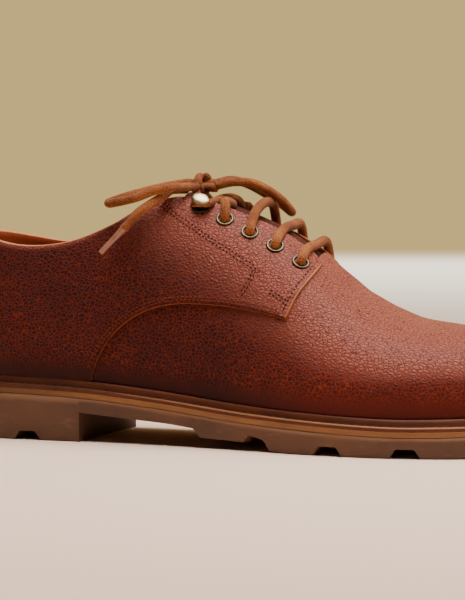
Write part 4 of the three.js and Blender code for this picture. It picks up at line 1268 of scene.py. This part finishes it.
def rubber_material():
    """Moulded rubber: matt, with fine pores in its relief, faint flow marks and scuffs. Edge dye from the
    leather above has run over its upper millimetres, by the stain attribute."""
    material, tree, shader = new_material("sole rubber")
    place = node(tree, "ShaderNodeTexCoord").outputs["Object"]
    cloud = node(tree, "ShaderNodeTexNoise", {"Vector": place, "Scale": 45.0, "Detail": 5.0}).outputs[0]
    pores = node(tree, "ShaderNodeTexNoise", {"Vector": place, "Scale": 1400.0, "Detail": 2.0}).outputs[0]
    stretch = node(tree, "ShaderNodeMapping", {0: place, 3: (140.0, 140.0, 420.0)})
    flow = {"Vector": stretch.outputs[0], "Scale": 1.0, "Detail": 4.0}
    marks = node(tree, "ShaderNodeTexNoise", flow).outputs[0]
    base = mix_colour(tree, step_range(tree, cloud, 0.3, 0.7), colour(80, 49, 31), colour(98, 65, 43))
    scuff = math_node(tree, "MULTIPLY", step_range(tree, marks, 0.56, 0.75), 0.14)
    base = mix_colour(tree, scuff, base, colour(160, 122, 92))
    stain = node(tree, "ShaderNodeAttribute", attribute_name="stain").outputs["Fac"]
    stain = step_range(tree, math_node(tree, "MULTIPLY_ADD", cloud, 0.8, stain), 0.5, 1.1, 0.0, 0.85)
    base = mix_colour(tree, stain, base, colour(122, 82, 52))
    tree.links.new(base, shader.inputs["Base Color"])
    height = math_node(tree, "MULTIPLY_ADD", marks, 0.7, pores)
    bump = node(tree, "ShaderNodeBump", {"Height": height, "Strength": 0.4, "Distance": 0.00025})
    tree.links.new(bump.outputs[0], shader.inputs["Normal"])
    tree.links.new(step_range(tree, cloud, 0.2, 0.8, 0.55, 0.75), shader.inputs["Roughness"])
    return material


rubber = rubber_material()
sole_grid = outsole_points()
faces, _, _ = grid_faces(*sole_grid.shape[:2])
outsole_mesh = new_mesh("outsole_moulding", sole_grid.reshape(-1, 3), faces)
rubber_top = welt_top(sole_grid[..., 0] / SOLE_LENGTH) - WELT_THICKNESS - MIDSOLE_THICKNESS
rubber_top = rubber_top - 2 * SEAM_GAP
stain_share = np.clip(1 - (rubber_top - sole_grid[..., 2]) / 2.6, 0, 1)
mark_points(outsole_mesh, {"stain": stain_share.reshape(-1)})
outsole = finish_piece("outsole_moulding", outsole_mesh, rubber)
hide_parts("outsole")


# Stitches: short rounded lengths of thread laid end to end along a seam.
def thread_material(name, light, dark, roughness=0.6):
    material, tree, shader = new_material(name)
    place = node(tree, "ShaderNodeTexCoord").outputs["Object"]
    twist = node(tree, "ShaderNodeTexNoise", {"Vector": place, "Scale": 1800.0, "Detail": 2.0}).outputs[0]
    tree.links.new(mix_colour(tree, twist, dark, light), shader.inputs["Base Color"])
    bump = node(tree, "ShaderNodeBump", {"Height": twist, "Strength": 0.5, "Distance": 0.0002})
    tree.links.new(bump.outputs[0], shader.inputs["Normal"])
    shader.inputs["Roughness"].default_value = roughness
    shader.inputs["Specular IOR Level"].default_value = 0.1
    return material


def add_stitches(name, lines, pitch, length, width, material):
    """Grains along lines of points with their normals: each is a ball stretched along the seam."""
    rings, sides = 5, 6
    polar = np.linspace(0, np.pi, rings)[:, None]
    angle = np.linspace(0, 2 * np.pi, sides, endpoint=False)[None, :]
    ball = np.stack(
        np.broadcast_arrays(
            -np.cos(polar) * length / 2,
            np.sin(polar) ** 0.6 * np.cos(angle) * width / 2,
            np.sin(polar) ** 0.6 * np.sin(angle) * width / 2,
        ),
        axis=-1,
    ).reshape(-1, 3)
    faces, _, _ = grid_faces(rings, sides, close_columns=True)
    all_points, all_faces, used = [], [], 0
    for path, normal in lines:
        run = np.concatenate([[0], np.cumsum(np.linalg.norm(np.diff(path, axis=0), axis=1))])
        at = np.arange(pitch / 2, run[-1] - pitch / 4, pitch)
        take = lambda values, where: np.stack([np.interp(where, run, values[:, k]) for k in range(3)], 1)
        place, out = take(path, at), take(normal, at)
        ahead = take(path, at + 0.3) - take(path, at - 0.3)
        ahead /= np.maximum(np.linalg.norm(ahead, axis=1, keepdims=True), 1e-9)
        across = np.cross(out, ahead)
        across /= np.maximum(np.linalg.norm(across, axis=1, keepdims=True), 1e-9)
        out = np.cross(ahead, across)
        basis = np.stack([ahead, across, out], axis=1)
        all_points.append((place[:, None] + np.einsum("mk,nkd->nmd", ball, basis)).reshape(-1, 3))
        offsets = used + len(ball) * np.arange(len(at))[:, None, None]
        all_faces.append((faces[None] + offsets).reshape(-1, 4))
        used += len(ball) * len(at)
    mesh = new_mesh(name, np.vstack(all_points), np.vstack(all_faces))
    return finish_piece(name, mesh, material)


# near-black thread: painted shade of the stitch holes
dark_thread = thread_material("dark thread", colour(60, 16, 9), colour(24, 5, 3))
brown_thread = thread_material("brown thread", colour(128, 62, 38), colour(72, 26, 15))
# the welt's thread darkened to brown: painted shade of its groove
tan_thread = thread_material("tan thread", colour(96, 50, 26), colour(50, 22, 11))


def side_line(points, side, lift):
    """A line drawn from the side, laid on the quarter, with the leather's normals."""
    flat = np.array(points, float)
    spline = smooth_path(np.column_stack([flat[:, 0], np.zeros(len(flat)), flat[:, 1]]), 0.5)
    t = share_at(spline[:, 0], STEP)
    girth = girth_at_height(t, np.full(len(t), side), spline[:, 2], STEP)
    on = form(t, side, girth, STEP)
    delta = 0.004
    along = form(t + delta, side, girth, STEP) - form(t - delta, side, girth, STEP)
    over = form(t, side, girth + delta, STEP) - form(t, side, girth - delta, STEP)
    normal = np.cross(along, over) * -side
    normal /= np.linalg.norm(normal, axis=1, keepdims=True)
    return on + normal * lift, normal


def shifted(points, sideways):
    """The same line moved square to itself, in the side view."""
    flat = np.array(points, float)
    ahead = np.gradient(flat, axis=0)
    ahead /= np.linalg.norm(ahead, axis=1, keepdims=True)
    return flat + sideways * np.stack([-ahead[:, 1], ahead[:, 0]], axis=1)


FACING_ROW = [
    (104.5, 110.2),
    (111.6, 105.4),
    (116.2, 102.6),
    (130.6, 94.0),
    (139.0, 89.4),
    (147.6, 84.3),
    (153.6, 80.9),
    (153.4, 77.8),
    (151.2, 73.0),
    (149.2, 69.6),
]
SHORT_ROW = [(162.8, 70.6), (166.9, 68.4), (171.0, 65.9)]
seam_points = np.column_stack([seam_x, seam_z])[::12]
front_heights = np.linspace(62.0, 82.0, 12)
front_points = np.column_stack(
    [SOLE_LENGTH * through(FRONT_EDGE, 1, (front_heights - HEEL_HEIGHT) / BACK_HEIGHT), front_heights]
)
rows = []
seam_rows = []
front_rows = []
for side in (-1.0, 1.0):
    rows += [side_line(FACING_ROW, side, 0.02), side_line(shifted(FACING_ROW, 1.5), side, 0.02)]
    rows += [side_line(SHORT_ROW, side, 0.02), side_line(shifted(SHORT_ROW, 1.5), side, 0.02)]
    seam_rows += [side_line(shifted(seam_points[2:-1], 1.4), side, 0.02)]
    seam_rows += [side_line(shifted(seam_points[2:-1], 2.7), side, 0.02)]
    front_rows += [side_line(shifted(front_points, 2.4), side, 0.02)]
add_stitches("facing_stitches", rows, 2.0, 1.3, 0.6, dark_thread)
add_stitches("seam_stitches", seam_rows, 2.1, 1.5, 0.6, brown_thread)
add_stitches("front_stitches", front_rows, 2.1, 1.2, 0.7, dark_thread)

WELT_STITCH_PITCH = 4.4
groove_x, groove_y = edge(rim_t, rim_side, 1.95)
groove = np.stack([groove_x, groove_y, welt_top(rim_t) - 0.05], axis=-1)
groove = np.vstack([groove, groove[:1]])
upright = np.tile([0.0, 0.0, 1.0], (len(groove), 1))
add_stitches("welt_stitches", [(groove, upright)], WELT_STITCH_PITCH, 3.3, 0.95, tan_thread)


# Eyelets: antique brass rings rolled over the facing's leather. Hooks: a riveted foot and a
# post that bends into an oval plate, under which the lace is caught.
def metal_material(name, low_tone, high_tone):
    """Brass of cloudy tone, with painted shade wherever the cut mark is set."""
    material, tree, shader = new_material(name)
    place = node(tree, "ShaderNodeTexCoord").outputs["Object"]
    cloud = node(tree, "ShaderNodeTexNoise", {"Vector": place, "Scale": 500.0, "Detail": 4.0}).outputs[0]
    second_tone_share = node(tree, "ShaderNodeAttribute", attribute_name="cut").outputs["Fac"]
    base = mix_colour(tree, cloud, low_tone, high_tone)
    # painted shade by the cut mark
    base = mix_colour(tree, second_tone_share, base, colour(38, 26, 18))
    tree.links.new(base, shader.inputs["Base Color"])
    tree.links.new(step_range(tree, cloud, 0.2, 0.8, 0.28, 0.45), shader.inputs["Roughness"])
    bump = node(tree, "ShaderNodeBump", {"Height": cloud, "Strength": 0.25, "Distance": 0.0002})
    tree.links.new(bump.outputs[0], shader.inputs["Normal"])
    shader.inputs["Metallic"].default_value = 1.0
    return material


brass = metal_material("antique brass", colour(62, 52, 38), colour(112, 98, 74))
# a lighter copy of the brass for the hooks' plates: painted highlight on their upturned faces
highlit_brass = metal_material("brass, painted highlight", colour(140, 116, 82), colour(200, 176, 138))
EYELET_RADIUS = 4.2
EYELET_BORE = 2.8
HOOK_POST = 5.4


def stand(n, side):
    """Middle, normal and two flat directions of the leather at a fastening."""
    x, y = fastening(n, side)
    middle, normal = lay_on(x, y, STEP), normal_on(x, y, STEP)
    flat = np.cross(normal, [0.0, 1.0, 0.0])
    flat /= np.linalg.norm(flat)
    return middle, normal, flat, np.cross(normal, flat)


def add_turned(name, profile, n, side, material, dark, oval=(1.0, 1.0)):
    """Solid of revolution about the leather's normal, from a closed profile of radius, height."""
    middle, normal, flat, other = stand(n, side)
    profile = np.array(profile + profile[:1])
    angle = np.linspace(0, 2 * np.pi, 36, endpoint=False)
    around = (
        oval[0] * np.cos(angle)[None, :, None] * flat + oval[1] * np.sin(angle)[None, :, None] * other
    )
    points = middle + profile[:, 0, None, None] * around + profile[:, 1, None, None] * normal
    faces, _, _ = grid_faces(len(profile), len(angle), close_columns=True)
    mesh = new_mesh(name, points.reshape(-1, 3), faces)
    # the marks go to the cut attribute, which the brass reads as painted shade
    marks = np.array(dark + dark[:1])
    layer = mesh.attributes.new("cut", "FLOAT", "POINT")
    layer.data.foreach_set("value", np.repeat(marks, len(angle)).astype(np.float32))
    return finish_piece(name, mesh, material)


roll = np.linspace(0, np.pi, 9)
roll_middle, roll_width = (EYELET_RADIUS + EYELET_BORE) / 2, (EYELET_RADIUS - EYELET_BORE) / 2
eyelet_profile = [
    (roll_middle + roll_width * math.cos(turn), 0.1 + 0.55 * math.sin(turn)) for turn in roll
] + [(EYELET_BORE - 0.1, -2.8), (EYELET_BORE + 0.25, -2.8), (EYELET_BORE + 0.25, 0.05)]
# painted shade at the ring's foot on the leather and down its bore
eyelet_shade = [1.0, 0.9, 0.7, 0.35, 0.05, 0.0, 0.1, 0.4, 0.8, 1.0, 1.0, 1.0]
for n in range(EYELET_COUNT):
    for side, where in ((-1, "outer"), (1, "inner")):
        name = f"eyelet_{where}_{n + 1}"
        piece = add_turned(name + "_ring", eyelet_profile, n, side, brass, eyelet_shade)
        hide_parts(name)

for side, where in ((-1, "outer"), (1, "inner")):
    name = f"lace_hook_{where}"
    foot = [(4.1, 0.05), (4.05, 0.5), (3.4, 0.95), (2.4, 0.8), (1.9, 0.5), (1.55, 1.2), (1.5, HOOK_POST)]
    foot += [(0.0, HOOK_POST), (0.0, -2.0), (1.4, -2.0), (1.5, 0.05)]
    # painted shade over the hook's foot and post, under the plate
    foot_shade = [0.9, 0.5, 0.7, 0.9, 1, 0.9, 0.6, 0, 0, 0, 1]
    piece = add_turned(name + "_foot", foot, EYELET_COUNT, side, brass, foot_shade)
    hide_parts(name)
    dome = [(0.0, HOOK_POST + 0.75), (1.2, HOOK_POST + 0.72), (2.4, HOOK_POST + 0.55), (3.3, HOOK_POST + 0.2)]
    dome += [(3.7, HOOK_POST - 0.1), (3.4, HOOK_POST - 0.4), (2.0, HOOK_POST - 0.15), (0.0, HOOK_POST)]
    # painted shade on the plate's underside
    dome_shade = [0, 0, 0, 0, 0.3, 0.9, 0.9, 0.9]
    plate_name = name + "_plate"
    piece = add_turned(plate_name, dome, EYELET_COUNT, side, highlit_brass, dome_shade, oval=(1.2, 0.92))
    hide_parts(name)

# The lace through the eyelets: bars across the three front pairs, on the outside. From the top
# pair the strands cross to the hooks, are caught round their posts, and rise to the bow.
HIDDEN_WIDTH = 1.8
# place across and height of each bar between its eyelets, from the front one back
BAR_WAYS = [
    [(-16.0, 88.6), (-10.7, 89.9), (2.0, 91.3), (15.5, 91.8)],
    [(-16.5, 95.6), (-8.0, 98.7), (3.0, 99.7), (15.0, 99.6)],
    [(-16.6, 103.7), (-11.0, 107.2), (-3.0, 109.8), (5.0, 110.3), (12.0, 108.2)],
]


def over_leather(place, lift):
    """Point of the form over a place in plan, lifted along its normal."""
    return lay_on(place[0], place[1], STEP) + lift * normal_on(place[0], place[1], STEP)


def add_strand(name, stops, node):
    """Cord through stops of a point and a width; between stops the width runs evenly."""
    places = np.array([place for place, _ in stops])
    widths = np.array([width for _, width in stops])
    path = smooth_path(places, 0.8)
    knots = np.array([np.argmin(np.linalg.norm(path - place, axis=1)) for place in places])
    order = np.argsort(knots, kind="stable")
    spread = np.interp(np.arange(len(path)), knots[order], widths[order])
    piece = add_tube(name, path, LACE_WIDTH, lace, widths=spread)
    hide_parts(node)
    return piece


def strand_out(near, far):
    """First stops of a strand: up through an eyelet's bore and over the facing's edge."""
    toward = (far - near) / abs(far[1] - near[1])
    reach = abs(near[1] - throat_middle(near[0])) - throat_half(near[0])
    return [
        (over_leather(near - toward * 0.3, -4.0), HIDDEN_WIDTH),
        (over_leather(near - toward * 0.2, -1.2), LACE_WIDTH - 0.4),
        (over_leather(near + toward * 0.4, 1.4), LACE_WIDTH - 0.2),
        (over_leather(near + toward * (0.35 * reach + 0.6), 3.3), LACE_WIDTH),
        (over_leather(near + toward * (0.85 * reach), 3.4), LACE_WIDTH),
    ]


for n, way in enumerate(BAR_WAYS):
    near, far = fastening(n, -1), fastening(n, 1)
    middle = [(np.array([near[0] + 0.5, across, height]), LACE_WIDTH) for across, height in way]
    stops = strand_out(near, far)[:3] + middle + strand_out(far, near)[2::-1]
    add_strand(f"lace_bar_{n + 1}_run", stops, f"lace_bar_{n + 1}")


def hook_strand(side, way):
    """From a top eyelet over the throat through the points of way to the other side's hook, round
    the toe side of its post under the plate, and up to the knot."""
    near, far = fastening(EYELET_COUNT - 1, side), fastening(EYELET_COUNT, -side)
    hook, normal, _, _ = stand(EYELET_COUNT, -side)
    inward = np.array([0.0, side, 0.0])
    ahead = np.array([1.0, 0.0, 0.0])
    ring = CORD_WIDTH / 2 + 1.1
    low = hook + normal * 2.1
    stops = strand_out(near, far)
    stops += [(np.array(point), CORD_WIDTH) for point in way]
    stops += [
        (low + ahead * (ring + 0.6) + inward * 2.6 + normal * 0.5, CORD_WIDTH - 0.2),
        (low + ahead * (ring - 0.2) - inward * 0.4, CORD_WIDTH - 0.7),
        (low - inward * (ring - 0.3), CORD_WIDTH - 1.0),
        (low - ahead * ring, CORD_WIDTH - 0.7),
        (low - ahead * (ring + 0.2) + inward * 4.5 + normal * 1.2, CORD_WIDTH - 0.3),
        (KNOT + np.array([-2.2, -2.4 * side, -1.8]), CORD_WIDTH - 0.6),
    ]
    return stops


# points that each crossing strand passes over the throat
TO_INNER_HOOK = [(136.0, -8.0, 109.9), (134.5, -3.0, 108.6), (131.0, 5.0, 109.2), (128.5, 11.0, 109.8)]
TO_OUTER_HOOK = [(134.2, 12.6, 107.8), (133.2, 9.0, 110.8), (131.7, 4.0, 112.3), (129.6, -3.0, 112.0)]
TO_OUTER_HOOK += [(127.8, -10.5, 110.4)]
add_strand("lace_run_to_inner_hook", hook_strand(-1, TO_INNER_HOOK), "lace_crossing")
add_strand("lace_run_to_outer_hook", hook_strand(1, TO_OUTER_HOOK), "lace_crossing")

# The pull loop: a leather strap sewn to the back of the heel, up over and down inside the collar.
LOOP_WIDTH = 10.0
LOOP_THICKNESS = 1.9


def loop_path():
    """Middle line of the strap: it lies on the counter, stands up past the rim and comes down inside."""
    rim_height = HEEL_HEIGHT + BACK_HEIGHT * 0.985

    def back(z):
        return WELT_WIDTH - STEP + WELT_WIDTH * through(BACK_CURVE, 1, (z - HEEL_HEIGHT) / BACK_HEIGHT)

    out = 0.25 + 0.5 * LOOP_THICKNESS
    within = WALL + STEP + 2 * SEAM_GAP + 0.55 * LOOP_THICKNESS
    leaning = [(-20, -out), (-14, -out), (-8, -out), (-3, -out - 0.2)]
    standing = [(3, -4.4), (10, -8), (18, -11), (23.2, -9.2), (24.6, -4.6), (20.5, -1.8), (12, 0), (6.5, 2.2)]
    standing += [(2.5, within - 0.2)]
    inside = [(-3, within + 0.3), (-9, within + 0.2)]
    points = [(back(rim_height + rise) + far, 0.0, rim_height + rise) for rise, far in leaning]
    points += [(back(rim_height) + far, 0.0, rim_height + rise) for rise, far in standing]
    points += [(back(rim_height + rise) + far, 0.0, rim_height + rise) for rise, far in inside]
    return smooth_path(points, 0.7)


spine = loop_path()
ahead = np.gradient(spine, axis=0)
ahead /= np.linalg.norm(ahead, axis=1, keepdims=True)
away = np.stack([-ahead[:, 2], np.zeros(len(spine)), ahead[:, 0]], axis=1)
across = np.linspace(-1, 1, 9)[:, None, None] * np.array([0.0, LOOP_WIDTH / 2 - 0.4, 0.0])
crown = 0.25 * (1 - np.linspace(-1, 1, 9)[:, None, None] ** 2)
strap_outer = spine + across + away * (LOOP_THICKNESS / 2 - 0.15 + crown)
strap_inner = spine + across - away * (LOOP_THICKNESS / 2 - 0.1)
strap = add_slab("pull_strap", strap_outer, strap_inner, 0.4, hide)
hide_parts("pull_loop")
